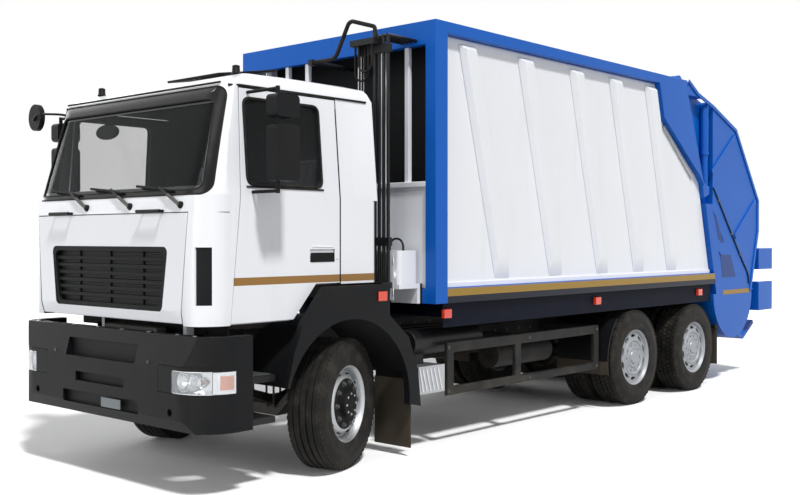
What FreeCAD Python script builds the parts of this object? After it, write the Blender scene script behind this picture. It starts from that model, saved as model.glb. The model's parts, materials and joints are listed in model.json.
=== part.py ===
import FreeCAD, Part
import Sketcher
import math
import os
from FreeCAD import Placement, Rotation, Vector

# Rear-loading garbage truck: a three-axle chassis with a tilting cab, a ribbed load body and a
# tailgate with its packer. X points forward, Y to the left and Z up, in millimetres. The origin is
# on the ground, in the middle of the length and width.

# Every driving size. A pair is a place in side view: its distance ahead of a datum and its height.
# The cab and the front of the body are measured from the front axle, the tail from the last axle.
SIZES = {
    # overall layout
    "front_overhang": 1420, "wheelbase": 4430, "bogie_spread": 1400, "rear_overhang": 2265,
    "axle_height": 512, "body_half_width": 1250, "overrun": 50, "running_gap": 0.08,
    "slide_gap": 0.4,
    # chassis rails and cross-members
    "rail_half_gauge": 430, "rail_height": 270, "rail_flange": 80, "rail_web": 10,
    "rail_top": 1070, "rail_front": 1140, "rail_tail": 455,
    "crossmember_length": 90, "crossmember_drop": 50, "crossmember_height": 150,
    "crossmember_front": 1000, "crossmember_second": -700, "crossmember_third": -1900,
    "crossmember_fourth": -3200, "crossmember_margin": 60,
    # front axle, kingpins and springs
    "beam_length": 110, "beam_height": 90, "beam_drop": 110, "kingpin_half_track": 880,
    "beam_shoulder": 560, "beam_bend": 120, "kingpin_radius": 48, "kingpin_boss_height": 110,
    "fork_gap": 4, "fork_height": 50, "fork_back_start": 56, "fork_back_thick": 34, "fork_half_width": 60,
    "stub_radius": 42, "stub_reach": 232, "steer_angle": 18.5,
    "spring_centre": 385, "spring_width": 80, "spring_half_length": 760, "spring_thick": 80,
    "spring_tip_thick": 30, "spring_eye_radius": 35, "hanger_length": 90,
    "balance_half_length": 760, "balance_thick": 120, "balance_tip_thick": 40,
    "balance_width": 70, "pivot_radius": 60,
    # rear axles and propeller shafts
    "housing_radius": 70, "housing_half_length": 870, "bowl_radius": 190, "bowl_half_width": 150,
    "shaft_radius": 50, "shaft_rise": 120,
    # wheels
    "tyre_radius": 512, "tyre_width": 300, "bead_radius": 292, "shoulder_drop": 26, "shoulder_inset": 18,
    "wall_bulge_radius": 410, "tyre_foot_inset": 30, "flange_radius": 303, "rim_inner_radius": 272,
    "flange_thick": 14, "dual_spacing": 345, "outer_tyre_centre": 1080,
    "front_tyre_offset": 128, "front_disc_face": 236, "front_disc_thick": 16, "front_hub_radius": 110,
    "front_hub_reach": 296,
    "rear_disc_face": 1190, "rear_disc_thick": 18, "rear_hub_radius": 130, "rear_hub_reach": 1206,
    "rear_slot_radius": 22, "rear_slot_circle": 225, "rear_hub_inner": 790,
    # engine, radiator and gearbox
    "engine_front": 950, "engine_rear": -260, "engine_half_width": 330, "engine_bottom": 640,
    "engine_top": 1150, "mount_x": 250, "mount_z": 900, "mount_height": 80, "radiator_front": 1150,
    "radiator_length": 100, "radiator_half_width": 340,
    "radiator_bottom": 700, "radiator_top": 1140, "gearbox_rear": -1050, "gearbox_half_width": 190,
    "gearbox_bottom": 620, "gearbox_top": 860,
    # tanks, muffler and guards on the rails
    "tank_front": -1300, "tank_rear": -2500, "tank_inner": 480, "tank_outer": 1060,
    "tank_bottom": 430, "tank_top": 1010, "tank_corner": 90,
    "air_front": -2330, "air_rear": -3250, "air_radius": 125, "air_centre_y": 800, "air_centre_z": 680,
    "muffler_front": -960, "muffler_rear": -1900, "muffler_radius": 110, "muffler_y": 950, "muffler_z": 905,
    "outlet_front": -900, "outlet_rear": -1240, "outlet_top": 720, "outlet_bottom": 490, "outlet_inner": 860,
    "outlet_outer": 1150, "bracket_thick": 30,
    "guard_front": -1280, "guard_rear_gap": 650, "guard_outer": 1150, "guard_thick": 40,
    "guard_upper_top": 900, "guard_upper_height": 90, "guard_lower_top": 515, "guard_lower_height": 75,
    "guard_post": 90, "guard_middle": -2380, "guard_arm": 60,
    # front bumper and lamps
    "bumper_face": 1420, "bumper_brow": 1365, "bumper_top": 1130, "bumper_shelf_length": 140,
    "bumper_bottom": 470, "bumper_foot": 1375, "bumper_chin": 560, "bumper_half_width": 1250,
    "bumper_rear": 985, "bumper_corner": 300, "bumper_wall": 70, "bumper_corner_start": 1000,
    "grip_top": 1040, "grip_bottom": 905, "grip_half_width": 460, "grip_depth": 30,
    "mesh_top": 790, "mesh_bottom": 720, "mesh_half_width": 320, "mesh_depth": 40,
    "mouth_top": 640, "mouth_bottom": 545, "mouth_half_width": 500,
    "lamp_inner": 740, "lamp_outer": 1195, "lamp_top": 925, "lamp_bottom": 735, "lamp_gap": 0.3,
    "lamp_depth": 120, "tow_radius": 26, "tow_y": 880, "tow_z": 600,
    "bumper_arm_half_width": 30, "bumper_arm_y": 395,
    # wheel arches, flaps and cab steps
    "arch_clear_radius": 670, "arch_liner": 14, "arch_inner": 620, "arch_outer": 1250,
    "arch_skin": 60, "arch_top": 1438, "arch_foot_front": (665, 720), "arch_knee": (590, 985),
    "arch_shoulder": (505, 1180), "arch_peak": (278, 1438), "arch_back": -430,
    "arch_back_low": 1190, "arch_hip": (-660, 1000), "arch_calf": (-775, 720), "arch_heel": (-810, 420),
    "flap_front": -740, "flap_thick": 14, "flap_inner": 790, "flap_outer": 1190, "flap_bottom": 75,
    "flap_top": 640, "cab_step_front": 960, "cab_step_rear": 690, "cab_step_low": 470,
    "cab_step_high": 770, "cab_step_height": 50, "cab_step_inner": 760, "cab_step_outer": 1150,
    "rear_guard_clear": 75, "rear_guard_thick": 16, "rear_guard_inner": 600, "rear_guard_outer": 1225,
    "rear_guard_low": 370, "rear_guard_high": 990, "rear_flap_gap": 590, "rear_flap_low": 260,
    "rear_flap_high": 740, "rear_flap_bar": 40,
    # load body
    "body_front": -1000, "body_top": 3640, "sill_top": 1378, "sill_bottom": 1250, 
    "pillar_length": 160, "top_rail_height": 100,
    "front_beam_height": 200, "front_beam_length": 80, "hinge_x": 230,
    "hinge_pin_radius": 30, "hinge_lug_thick": 60, "hinge_lug_inner": 1000, "hinge_lug_radius": 75,
    "rear_top_x": 255, "cut_top_x": 920, "cut_upper": (808, 3160), "cut_lower": (-75, 2550),
    "rear_mid": (-190, 2440), "rear_low_x": -500, "rear_beam_length": 100, "rear_beam_height": 160,
    "rear_post_width": 120, "rear_post_depth": 50,
    "sheet_inset": 70, "sheet_thick": 45, "rib_top_centre": -1495, "rib_pitch_front": 880,
    "rib_pitch_rear": 765, "rib_lean": 540, "rib_face": 140, "rib_base": 240, "rib_proud": 64,
    "rib_bottom": 1430, "rib_top": 3500, "floor_bottom": 1250, "floor_top": 1300,
    "roof_drop": 20, "roof_thick": 40, "subrail_width": 80, "crossbeam_length": 80, "crossbeam_pitch": 700,
    "crossbeam_first": 250, "crossbeam_height": 130, "valance_bottom": 1040, "valance_thick": 12,
    "valance_outer": 1205, "valance_front": 150,
    # front wall of the body
    "apron_inset": 20, "apron_thick": 40, "apron_top": 2200, "ledge_top": 2285, "ledge_thick": 45,
    "wall_depth": 350, "wall_thick": 40, "post_size": 45, "post_outer": 905, "post_middle": 620,
    "post_inner": 345,
    # ejector plate inside the body
    "ejector_front": -1430, "ejector_length": 420, "ejector_foot": 90, "ejector_thick": 50,
    "ejector_half_width": 1110, "ejector_top": 3400,
    # pipes, hoses and control box between cab and body
    "pipe_x": -650, "pipe_radius": 15, "pipe_first": 880, "pipe_pitch": 50, "pipe_bottom": 1440,
    "pipe_top": 3480, "pipe_clamp_low": 1740, "pipe_clamp_high": 3340,
    "clamp_height": 70, "clamp_thick": 44, "clamp_margin": 24,
    "feed_y": 120, "feed_z": 3353, "feed_radius": 22, "feed_block": 50, "feed_rise": (410, 3353),
    "feed_peak": (585, 3660), "feed_fall_z": 3570, "feed_bend": 100, "feed_peak_bend": 60,
    "feed_end_bend": 30, "feed_hose_radius": 18, "socket_top": 3520,
    "thin_radius": 9, "thin_first": 735, "thin_pitch": 30, "manifold_reach": 95, "manifold_height": 50,
    "manifold_inner": 680, "manifold_outer": 950, "loop_first": 705, "loop_shift": 60, "loop_wide": 150,
    "loop_bend": 70, "loop_low": 3120, "loop_stagger": 70, "loop_gap": 22, "arch_hose_inner": 870,
    "arch_hose_outer": 1020, "arch_hose_top": 1800,
    "box_front": -730, "box_rear": -965, "box_inner": 780, "box_outer": 1080, "box_bottom": 1420,
    "box_top": 1700, "shelf_thick": 40, "cap_radius": 35, "cap_height": 45, "box_corner": 35,
    # marker lamps
    "marker_length": 100, "marker_height": 76, "marker_thick": 35, "marker_z": 1160,
    "marker_front": -1180, "marker_middle": -3630, "marker_rear": -5950, "marker_arch_x": -340,
    "marker_arch_z": 1345,
    # cab shell
    "cab_half_width": 1150, "cab_roof_half_width": 1085, "cab_waist_z": 2110, "lean_top": 2890,
    "cab_crown_half_width": 1010, "cab_crown_z": 2990, "cab_top_z": 3040, "cab_top_half_width": 800,
    "cab_foot_front": (1335, 1195), "cab_chin": (1358, 1300), "cab_brow": (1350, 1985),
    "cab_screen_foot": (1325, 2100), "cab_screen_head": (1105, 2830), "cab_eave": (1065, 2895),
    "cab_roof_front": (880, 2985), "cab_roof_peak": (300, 3040), "cab_roof_rear": (-330, 3040),
    "cab_back_top": (-390, 2960), "cab_back_low": (-390, 1452), "cab_arch_rear": (275, 1452),
    "cab_arch_front": (505, 1195), "cab_corner": 240, "cab_rear_corner": 60, "cab_wall": 40,
    "panel_gap": 8,
    "screen_low": 2135, "screen_high": 2790, "screen_low_half": 1060, "screen_high_half": 1000,
    "screen_corner": 70, "glass_thick": 8, "glass_inset": 14, "screen_reach": 350,
    # cab joints
    "tilt_x": 1270, "tilt_z": 800, "tilt_lug_radius": 45, "tilt_lug_thick": 40, "tilt_lug_y": 520,
    "tilt_elbow": (1015, 1040), "tilt_bracket_length": 140,
    # doors
    "door_front_low": (1100, 1205), "door_front_waist": (1010, 2060), "door_front_top": (975, 2868),
    "door_rear": 30, "door_hem": 1205, "door_arch_front": 515, "door_arch_rear": (285, 1460),
    "door_thick": 45, "window_front_low": (945, 2185), "window_front_top": (935, 2800),
    "window_rear": 215, "window_corner": 60, "handle_front": 345, "handle_rear": 90,
    "handle_top": 1720, "handle_bottom": 1625, "handle_depth": 22,
    # front flap and grille
    "flap_half_low": 915, "flap_half_high": 985, "flap_low": 1212, "flap_high": 1978,
    "flap_wall": 28, "grille_half_low": 704, "grille_half_high": 768, "grille_low": 1285,
    "grille_high": 1743, "grille_corner": 45, "grille_frame": 34, "grille_depth": 45,
    "slat_height": 26, "slat_depth": 30, "grille_face": 1350, "grille_post_half": 8,
    "grille_mid_half": 420,
    # vanes, wipers, handles, hatch and lamps of the cab
    "vane_inner": 1035, "vane_outer": 1118, "vane_low": 1340, "vane_high": 1740, "vane_depth": 30,
    "vane_recess": 12, "wiper_thick": 16, "wiper_z": 2030, "wiper_length": 620, "wiper_lean": 58,
    "wiper_first": -256, "wiper_pitch": 588, "wiper_boss": 20, "wiper_off": 3, "grip_bar_y": 595,
    "grip_bar_half": 140, "grip_bar_radius": 12, "grip_bar_z": 1995, "grip_bar_reach": 45,
    "hatch_front": 560, "hatch_rear": -60,
    "hatch_half_width": 330, "hatch_rise": 60, "hatch_seat": 8, "roof_lamp_radius": 28,
    "roof_lamp_height": 70, "roof_lamp_x": 830, "roof_lamp_y": 880,
    # cab interior
    "dash_front": 1200, "dash_rear": 880, "dash_low": 1560, "dash_high": 2030, "dash_half_width": 1000,
    "wheel_centre": (700, 1980), "wheel_ring_radius": 225, "wheel_rim_radius": 17, "wheel_tilt": 28,
    "column_radius": 30, "column_length": 330, "driver_y": 560, "seat_front": 430, "seat_rear": -80,
    "seat_base_top": 1700, "seat_top": 1800, "seat_half_width": 240, "back_top": 2480, "back_thick": 130,
    "back_lean": 130,
    # mirrors
    "mirror_y": 1415, "mirror_thick": 110, "mirror_front": 960, "mirror_rear": 745, "mirror_low": 2200,
    "mirror_high": 2590, "mirror_corner": 35, "wide_low": 2640, "wide_high": 2800, "mirror_arm_radius": 12,
    "mirror_arm_x": 900, "mirror_arm_low": 2130, "mirror_arm_high": 2840,
    # tailgate
    "gate_gap": 14, "gate_skin": 60, "gate_outer": 1235, "gate_top": (160, 3640), "gate_step": (-50, 3530),
    "gate_roof": (-450, 3420), "gate_crown": (-1110, 3180), "gate_waist": (-1800, 2300),
    "gate_sill": (-1800, 1900), "gate_drop": (-1560, 1120), "gate_hem": 1092,
    "notch_rear": -450, "notch_low": 2220, "notch_high": 3480, "notch_skin": 55,
    "trough": (-1040, 1120), "trough_radius": 560, "trough_thick": 25, "cover_thick": 30,
    "sill_lip": (-1760, 1090), "sill_edge": (-1800, 1190), "brace_proud": 15, "brace_width": 60,
    "brace_upper": (-1075, 3050), "brace_upper_foot": (-430, 2570), "brace_lower": (-1705, 2250),
    "brace_lower_foot": (-1085, 1797), "recess_depth": 14,
    "recess_upper": (-470, 2100), "recess_upper_foot": (-770, 1738), "recess_lower": (-640, 1590),
    "recess_lower_foot": (-1085, 1312),
    # tail lamp boxes
    "lampbox_inner": 1095, "lampbox_outer": 1235, "lampbox_front": -1825, "lampbox_upper_low": 1395,
    "lampbox_upper_high": 1672, "lampbox_lower_low": 855, "lampbox_lower_high": 1232,
    "lampbox_bracket": 30,
    # packer
    "carriage_angle": 46, "blade_hinge": (-920, 2350), "carriage_length": 850, "carriage_thick": 60,
    "blade_length": 800, "blade_thick": 60, "blade_hinge_radius": 45,
    "blade_lean": 20, "blade_gap": 8, "sweep_gap": 10,
    # bin lifter
    "lifter_pivot": (-1790, 1010), "lifter_radius": 35, "comb_front": (-1370, 620), "comb_low": (-1790, 470),
    "comb_tip": (-2120, 660), "comb_thick": 45, "comb_half_width": 1040, "lifter_arm_y": 800,
    "lifter_arm_thick": 50, "lifter_arm_width": 90, "lifter_lug_gap": 6,
    # tailgate lift cylinders
    "ram_y": 1185, "ram_top": (-320, 3400), "ram_foot": (-320, 2380), "ram_radius": 48,
    "ram_lower_radius": 40, "ram_collar_z": 2830, "collar_radius": 52, "collar_half": 18, "rod_radius": 26,
    "ram_eye_radius": 45, "ram_eye_width": 70, "ram_lug_thick": 22,
    "ram_pin_radius": 22,
}


class Size:
    # A length or angle with its value and the expression that it came from.
    def __init__(self, value, text):
        self.value = value
        self.text = text

    def __add__(self, other):
        other = size(other)
        return Size(self.value + other.value, f"({self.text} + {other.text})")

    def __sub__(self, other):
        other = size(other)
        return Size(self.value - other.value, f"({self.text} - {other.text})")

    def __mul__(self, other):
        other = size(other)
        return Size(self.value * other.value, f"({self.text} * {other.text})")

    def __truediv__(self, other):
        other = size(other)
        return Size(self.value / other.value, f"({self.text} / {other.text})")

    def __radd__(self, other):
        return size(other) + self

    def __rsub__(self, other):
        return size(other) - self

    def __rmul__(self, other):
        return size(other) * self

    def __neg__(self):
        return Size(-self.value, f"(0 - {self.text})")


def size(item):
    return item if isinstance(item, Size) else Size(float(item), repr(float(item)))


def sine(angle):
    return Size(math.sin(math.radians(angle.value)), f"sin({angle.text})")


def cosine(angle):
    return Size(math.cos(math.radians(angle.value)), f"cos({angle.text})")


doc = FreeCAD.newDocument("garbage_truck")
sheet = doc.addObject("Spreadsheet::Sheet", "sizes")
places = doc.addObject("App::VarSet", "places")
row = 0
for alias, given in SIZES.items():
    pair = isinstance(given, tuple)
    for suffix, number in zip(("_x", "_z") if pair else ("",), given if pair else (given,)):
        row += 1
        sheet.set(f"A{row}", alias + suffix)
        sheet.set(f"B{row}", str(number))
        sheet.setAlias(f"B{row}", alias + suffix)
doc.recompute()


def the(alias):
    return Size(float(sheet.get(alias)), f"sizes.{alias}")


def place(name, item):
    # A worked-out place that many pieces share.
    places.addProperty("App::PropertyFloat", name)
    places.setExpression(name, item.text)
    return Size(item.value, f"places.{name}")


overall = the("front_overhang") + the("wheelbase") + the("bogie_spread") + the("rear_overhang")
axle_front = place("axle_front", overall / 2 - the("front_overhang"))
axle_second = place("axle_second", axle_front - the("wheelbase"))
axle_last = place("axle_last", axle_second - the("bogie_spread"))
bogie = place("bogie", (axle_second + axle_last) / 2)


def ahead(alias):
    # A place measured forward from the front axle.
    return axle_front + the(alias)


def behind(alias):
    # A place measured forward from the last axle.
    return axle_last + the(alias)


def front_point(alias):
    return (axle_front + the(alias + "_x"), the(alias + "_z"))


def tail_point(alias):
    return (axle_last + the(alias + "_x"), the(alias + "_z"))


def bind(thing, prop, item):
    thing.setExpression(prop, size(item).text)


def locate(thing, x=0, y=0, z=0):
    for axis, item in zip("xyz", (x, y, z)):
        bind(thing, f"Placement.Base.{axis}", item)
    return thing


def box(name, x, y, z):
    thing = doc.addObject("Part::Box", name)
    for prop, (low, high) in zip(("Length", "Width", "Height"), (x, y, z)):
        bind(thing, prop, size(high) - low)
    return locate(thing, x[0], y[0], z[0])


TURNS = {"X": Rotation(Vector(0, 1, 0), 90), "Y": Rotation(Vector(1, 0, 0), -90), "Z": Rotation()}


def rod(name, axis, low, high, centre, radius):
    # A cylinder along an axis, from low to high, about the centre given by the other two places.
    thing = doc.addObject("Part::Cylinder", name)
    thing.Placement = Placement(Vector(), TURNS[axis])
    bind(thing, "Radius", radius)
    bind(thing, "Height", size(high) - low)
    first, second = centre
    base = {"X": (low, first, second), "Y": (first, low, second), "Z": (first, second, low)}[axis]
    return locate(thing, *base)


def corner_cut(before, corner, after, radius):
    # Tangent points and centre of the arc that rounds a corner.
    into = (Vector(*before) - Vector(*corner)).normalize()
    out = (Vector(*after) - Vector(*corner)).normalize()
    half = into.getAngle(out) / 2
    reach = radius / math.tan(half)
    middle = (into + out).normalize() * (radius / math.sin(half))
    return Vector(*corner) + into * reach, Vector(*corner) + out * reach, Vector(*corner) + middle


def fix_point(drawing, element, vertex, u, v):
    for kind, item in (("DistanceX", u), ("DistanceY", v)):
        item = size(item)
        index = drawing.addConstraint(Sketcher.Constraint(kind, -1, 1, element, vertex, item.value))
        drawing.setExpression(f"Constraints[{index}]", item.text)


def new_sketch(body, name, role, offset):
    drawing = body.newObject("Sketcher::SketchObject", name)
    plane = next(item for item in body.Origin.OriginFeatures if item.Role == role)
    drawing.AttachmentSupport = (plane, [""])
    drawing.MapMode = "FlatFace"
    bind(drawing, "AttachmentOffset.Base.z", offset)
    return drawing


def draw(body, name, role, offset, points, closed=True):
    # An outline or open path of straight sides. A third entry of a point is the radius of its corner.
    drawing = new_sketch(body, name, role, offset)
    flat = [Vector(size(p[0]).value, size(p[1]).value) for p in points]
    count = len(points)
    starts, ends, arcs = list(flat), list(flat), {}
    for index, point in enumerate(points):
        if len(point) == 3:
            first, second, centre = corner_cut(flat[index - 1], flat[index], flat[(index + 1) % count],
                                               point[2].value)
            ends[index], starts[index] = first, second
            arcs[index] = centre
    lines = [drawing.addGeometry(Part.LineSegment(starts[index], ends[(index + 1) % count]))
             for index in range(count if closed else count - 1)]
    for index, point in enumerate(points):
        if not closed and index in (0, count - 1):
            fix_point(drawing, lines[0] if index == 0 else lines[-1], 1 if index == 0 else 2, *point)
            continue
        before = lines[index - 1]
        if index not in arcs:
            drawing.addConstraint(Sketcher.Constraint("Coincident", before, 2, lines[index], 1))
            fix_point(drawing, lines[index], 1, point[0], point[1])
            continue
        centre, first, second = arcs[index], ends[index], starts[index]
        turn = (first - centre).cross(second - centre).z
        entry, leave = (first, second) if turn > 0 else (second, first)
        circle = Part.Circle(centre, Vector(0, 0, 1), point[2].value)
        arc = drawing.addGeometry(Part.ArcOfCircle(circle, circle.parameter(entry), circle.parameter(leave)))
        at_first, at_second = (1, 2) if turn > 0 else (2, 1)
        drawing.addConstraint(Sketcher.Constraint("Tangent", before, 2, arc, at_first))
        drawing.addConstraint(Sketcher.Constraint("Tangent", lines[index], 1, arc, at_second))
        number = drawing.addConstraint(Sketcher.Constraint("Radius", arc, point[2].value))
        drawing.setExpression(f"Constraints[{number}]", point[2].text)
        dot = drawing.addGeometry(Part.Point(flat[index]), True)
        drawing.addConstraint(Sketcher.Constraint("PointOnObject", dot, 1, before))
        drawing.addConstraint(Sketcher.Constraint("PointOnObject", dot, 1, lines[index]))
        fix_point(drawing, dot, 1, point[0], point[1])
    return drawing


def hose(name, x, points, radius):
    # A round hose along an open path of (Y, Z) points in the plane at x. It starts along Y or Z.
    body = doc.addObject("PartDesign::Body", name)
    path = draw(body, name + "_path", "YZ_Plane", x, points, closed=False)
    (first_y, first_z), second_z = points[0], points[1][1]
    upright = size(second_z).value != size(first_z).value
    role, offset, centre = ("XY_Plane", first_z, (x, first_y)) if upright else (
        "XZ_Plane", -size(first_y), (x, first_z))
    ring = new_sketch(body, name + "_ring", role, offset)
    middle = Vector(*[size(item).value for item in centre])
    circle = ring.addGeometry(Part.Circle(middle, Vector(0, 0, 1), radius.value))
    fix_point(ring, circle, 3, *centre)
    number = ring.addConstraint(Sketcher.Constraint("Radius", circle, radius.value))
    ring.setExpression(f"Constraints[{number}]", radius.text)
    sweep = body.newObject("PartDesign::AdditivePipe", name + "_sweep")
    sweep.Profile = ring
    sweep.Spine = path
    return body


def slab(name, role, points, low, high):
    # An outline padded between two places: XZ outlines along Y, YZ along X and XY along Z.
    body = doc.addObject("PartDesign::Body", name)
    offset = -size(high) if role == "XZ_Plane" else low
    drawing = draw(body, name + "_outline", role, offset, points)
    pad = body.newObject("PartDesign::Pad", name + "_pad")
    pad.Profile = drawing
    bind(pad, "Length", size(high) - low)
    return body


def side_slab(name, points, low, high):
    return slab(name, "XZ_Plane", points, low, high)


def turned(name, points, x=0, y=0, z=0):
    # A profile of (place along the axle, radius) turned about a line along Y.
    body = doc.addObject("PartDesign::Body", name)
    drawing = draw(body, name + "_profile", "YZ_Plane", 0, points)
    turn = body.newObject("PartDesign::Revolution", name + "_turn")
    turn.Profile = drawing
    turn.ReferenceAxis = (drawing, ["H_Axis"])
    turn.Angle = 360
    return locate(body, x, y, z)


def fuse(name, *parts):
    thing = doc.addObject("Part::MultiFuse", name)
    thing.Shapes = list(parts)
    return thing


def common(name, *parts):
    thing = doc.addObject("Part::MultiCommon", name)
    thing.Shapes = list(parts)
    return thing


def cut(name, base, *tools):
    thing = doc.addObject("Part::Cut", name)
    thing.Base = base
    thing.Tool = tools[0] if len(tools) == 1 else fuse(name + "_tools", *tools)
    return thing


def group(name, *parts):
    thing = doc.addObject("Part::Compound", name)
    thing.Links = list(parts)
    return thing


def mirror(name, part):
    thing = doc.addObject("Part::Mirroring", name)
    thing.Source = part
    thing.Base = (0, 0, 0)
    thing.Normal = (0, 1, 0)
    return thing


def both(name, part):
    # A piece and its mirror image as one node of two solids.
    return group(name, part, mirror(name + "_right", part))


nodes = []


def node(name, thing):
    thing.Label = name
    nodes.append(thing)
    return thing


# Shared places
overrun = the("overrun")
gap = the("running_gap")
axle_z = the("axle_height")
rail_bottom = place("rail_bottom", the("rail_top") - the("rail_height"))
body_front = place("body_front_face", ahead("body_front"))
body_half = the("body_half_width")
sheet_outer = place("sheet_outer", body_half - the("sheet_inset"))
sheet_inner = place("sheet_inner", sheet_outer - the("sheet_thick"))
rail_low = place("top_rail_low", the("body_top") - the("top_rail_height"))
hinge = (behind("hinge_x"), the("body_top"))


def chassis_frame():
    gauge, flange, web = the("rail_half_gauge"), the("rail_flange"), the("rail_web")
    top, low = the("rail_top"), rail_bottom
    rear, front = axle_last - the("rail_tail"), ahead("rail_front")
    section = [(gauge, low), (gauge, top), (gauge - flange, top), (gauge - flange, top - web),
               (gauge - web, top - web), (gauge - web, low + web), (gauge - flange, low + web),
               (gauge - flange, low)]
    rail = slab("rail", "YZ_Plane", section, rear, front)
    length = the("crossmember_length")
    spots = [ahead("crossmember_front"), ahead("crossmember_second"), ahead("crossmember_third"),
             ahead("crossmember_fourth"), bogie, rear + the("crossmember_margin")]
    top = top - the("crossmember_drop")
    members = [box(f"crossmember_{index}", (spot - length / 2, spot + length / 2), (web - gauge, gauge - web),
                   (top - the("crossmember_height"), top)) for index, spot in enumerate(spots)]
    tow_arm = box("bumper_arm", (front, ahead("bumper_face") - the("bumper_wall")),
                  (the("bumper_arm_y") - the("bumper_arm_half_width"),
                   the("bumper_arm_y") + the("bumper_arm_half_width")),
                  (rail_bottom, the("rail_top") - the("crossmember_drop")))
    eye, thick = the("tilt_lug_radius"), the("tilt_lug_thick")
    bracket = box("tilt_bracket", (front - the("tilt_bracket_length"), ahead("tilt_x") + eye),
                  (gauge, gauge + thick), (the("tilt_z") - eye, the("tilt_z") + eye))
    pin = rod("tilt_pin", "Y", gauge, the("tilt_lug_y") + thick, (ahead("tilt_x"), the("tilt_z")),
              the("ram_pin_radius"))
    sides = [rail, tow_arm, bracket, pin]
    node("chassis_frame", fuse("frame_joined", *sides,
                               *[mirror(piece.Name + "_right", piece) for piece in sides],
                               *members))


def front_axle():
    half, drop = the("beam_height") / 2, the("beam_drop")
    end, shoulder = the("kingpin_half_track"), the("beam_shoulder")
    foot = shoulder - the("beam_bend")
    upper = [(end, axle_z + half), (shoulder, axle_z + half), (foot, axle_z - drop + half)]
    lower = [(end, axle_z - half), (shoulder, axle_z - half), (foot, axle_z - drop - half)]
    mirrored = [(-y, z) for y, z in reversed(upper)] + [(-y, z) for y, z in lower]
    outline = upper + mirrored + list(reversed(lower))
    beam = slab("beam", "YZ_Plane", outline, axle_front - the("beam_length") / 2,
                axle_front + the("beam_length") / 2)
    reach = the("kingpin_boss_height") / 2
    boss = rod("kingpin_boss", "Z", axle_z - reach, axle_z + reach, (axle_front, end), the("kingpin_radius"))
    bore = rod("kingpin_bore", "Z", axle_z - reach - overrun, axle_z + reach + overrun, (axle_front, end),
               the("ram_pin_radius") + gap)
    joined = fuse("beam_joined", beam, boss, mirror("kingpin_boss_right", boss))
    node("front_axle", cut("beam_bored", joined, bore, mirror("kingpin_bore_right", bore)))


def leaf_springs():
    centre, half = the("spring_centre"), the("spring_width") / 2
    sides = (centre - half, centre + half)
    seat = place("spring_seat", axle_z - the("beam_drop") + the("beam_height") / 2)
    reach, eye = the("spring_half_length"), rail_bottom - the("spring_eye_radius") * 2
    tip, thick, pad = the("spring_tip_thick") / 2, the("spring_thick"), the("beam_length") / 2
    outline = [(axle_front - reach, eye - tip), (axle_front - pad, seat), (axle_front + pad, seat),
               (axle_front + reach, eye - tip), (axle_front + reach, eye + tip),
               (axle_front + pad, seat + thick), (axle_front - pad, seat + thick),
               (axle_front - reach, eye + tip)]
    pack = side_slab("front_spring", outline, *sides)
    hangers = [box(f"spring_hanger_{index}",
                   (spot - the("hanger_length") / 2, spot + the("hanger_length") / 2),
                   sides, (eye - tip, rail_bottom))
               for index, spot in enumerate((axle_front - reach, axle_front + reach))]
    front = fuse("front_spring_joined", pack, *hangers)
    reach = the("balance_half_length")
    seat, tip = axle_z + the("housing_radius"), the("balance_tip_thick")
    high = rail_bottom - the("pivot_radius")
    outline = [(bogie - reach, seat), (bogie - reach + the("bowl_half_width"), seat),
               (bogie - pad, high - the("balance_thick")), (bogie + pad, high - the("balance_thick")),
               (bogie + reach - the("bowl_half_width"), seat), (bogie + reach, seat),
               (bogie + reach, seat + tip), (bogie + pad, high), (bogie - pad, high),
               (bogie - reach, seat + tip)]
    sides = (centre - the("balance_width") / 2, centre + the("balance_width") / 2)
    pack = side_slab("balance_spring", outline, *sides)
    saddle = box("balance_saddle", (bogie - pad, bogie + pad), sides,
                 (high - the("balance_thick") / 2, rail_bottom))
    rear = fuse("balance_joined", pack, saddle)
    node("leaf_springs", group("springs_all", front, mirror("front_spring_right", front), rear,
                               mirror("balance_right", rear)))


def rear_axles():
    end, tube, bowl, wide = (the("housing_half_length"), the("housing_radius"), the("bowl_radius"),
                             the("bowl_half_width"))
    profile = [(-end, size(0)), (-end, tube), (-wide, tube), (-wide / 2, bowl), (wide / 2, bowl),
               (wide, tube), (end, tube), (end, size(0))]
    housings = [turned(f"axle_housing_{index}", profile, spot, 0, axle_z)
                for index, spot in enumerate((axle_second, axle_last))]
    shaft = rod("front_shaft", "X", axle_second + wide / 2, ahead("gearbox_rear"),
                (0, axle_z + the("shaft_rise")), the("shaft_radius"))
    link = rod("bogie_shaft", "X", axle_last + wide, axle_second - wide, (0, axle_z), the("shaft_radius"))
    node("rear_axles", fuse("rear_axles_joined", *housings, shaft, link))


def tyre(name, centre, **spot):
    half, foot = the("tyre_width") / 2, the("tyre_foot_inset")
    inset, drop, outer = the("shoulder_inset"), the("shoulder_drop"), the("tyre_radius")
    seat = the("flange_radius") + the("slide_gap")
    profile = [(centre - half + foot, the("bead_radius")), (centre - half + foot, seat),
               (centre - half, the("wall_bulge_radius")),
               (centre - half + inset / 2, outer - drop), (centre - half + inset * 2, outer),
               (centre + half - inset * 2, outer), (centre + half - inset / 2, outer - drop),
               (centre + half, the("wall_bulge_radius")), (centre + half - foot, seat),
               (centre + half - foot, the("bead_radius"))]
    return turned(name, profile, **spot)


def rim_edges(side, inner_centre, outer_centre):
    # Barrel of a rim from its inner flange to its outer flange, in places along the axle.
    reach = the("tyre_width") / 2 - the("tyre_foot_inset") + the("lamp_gap") + the("flange_thick")
    return side * (inner_centre - reach), side * (outer_centre + reach)


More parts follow.
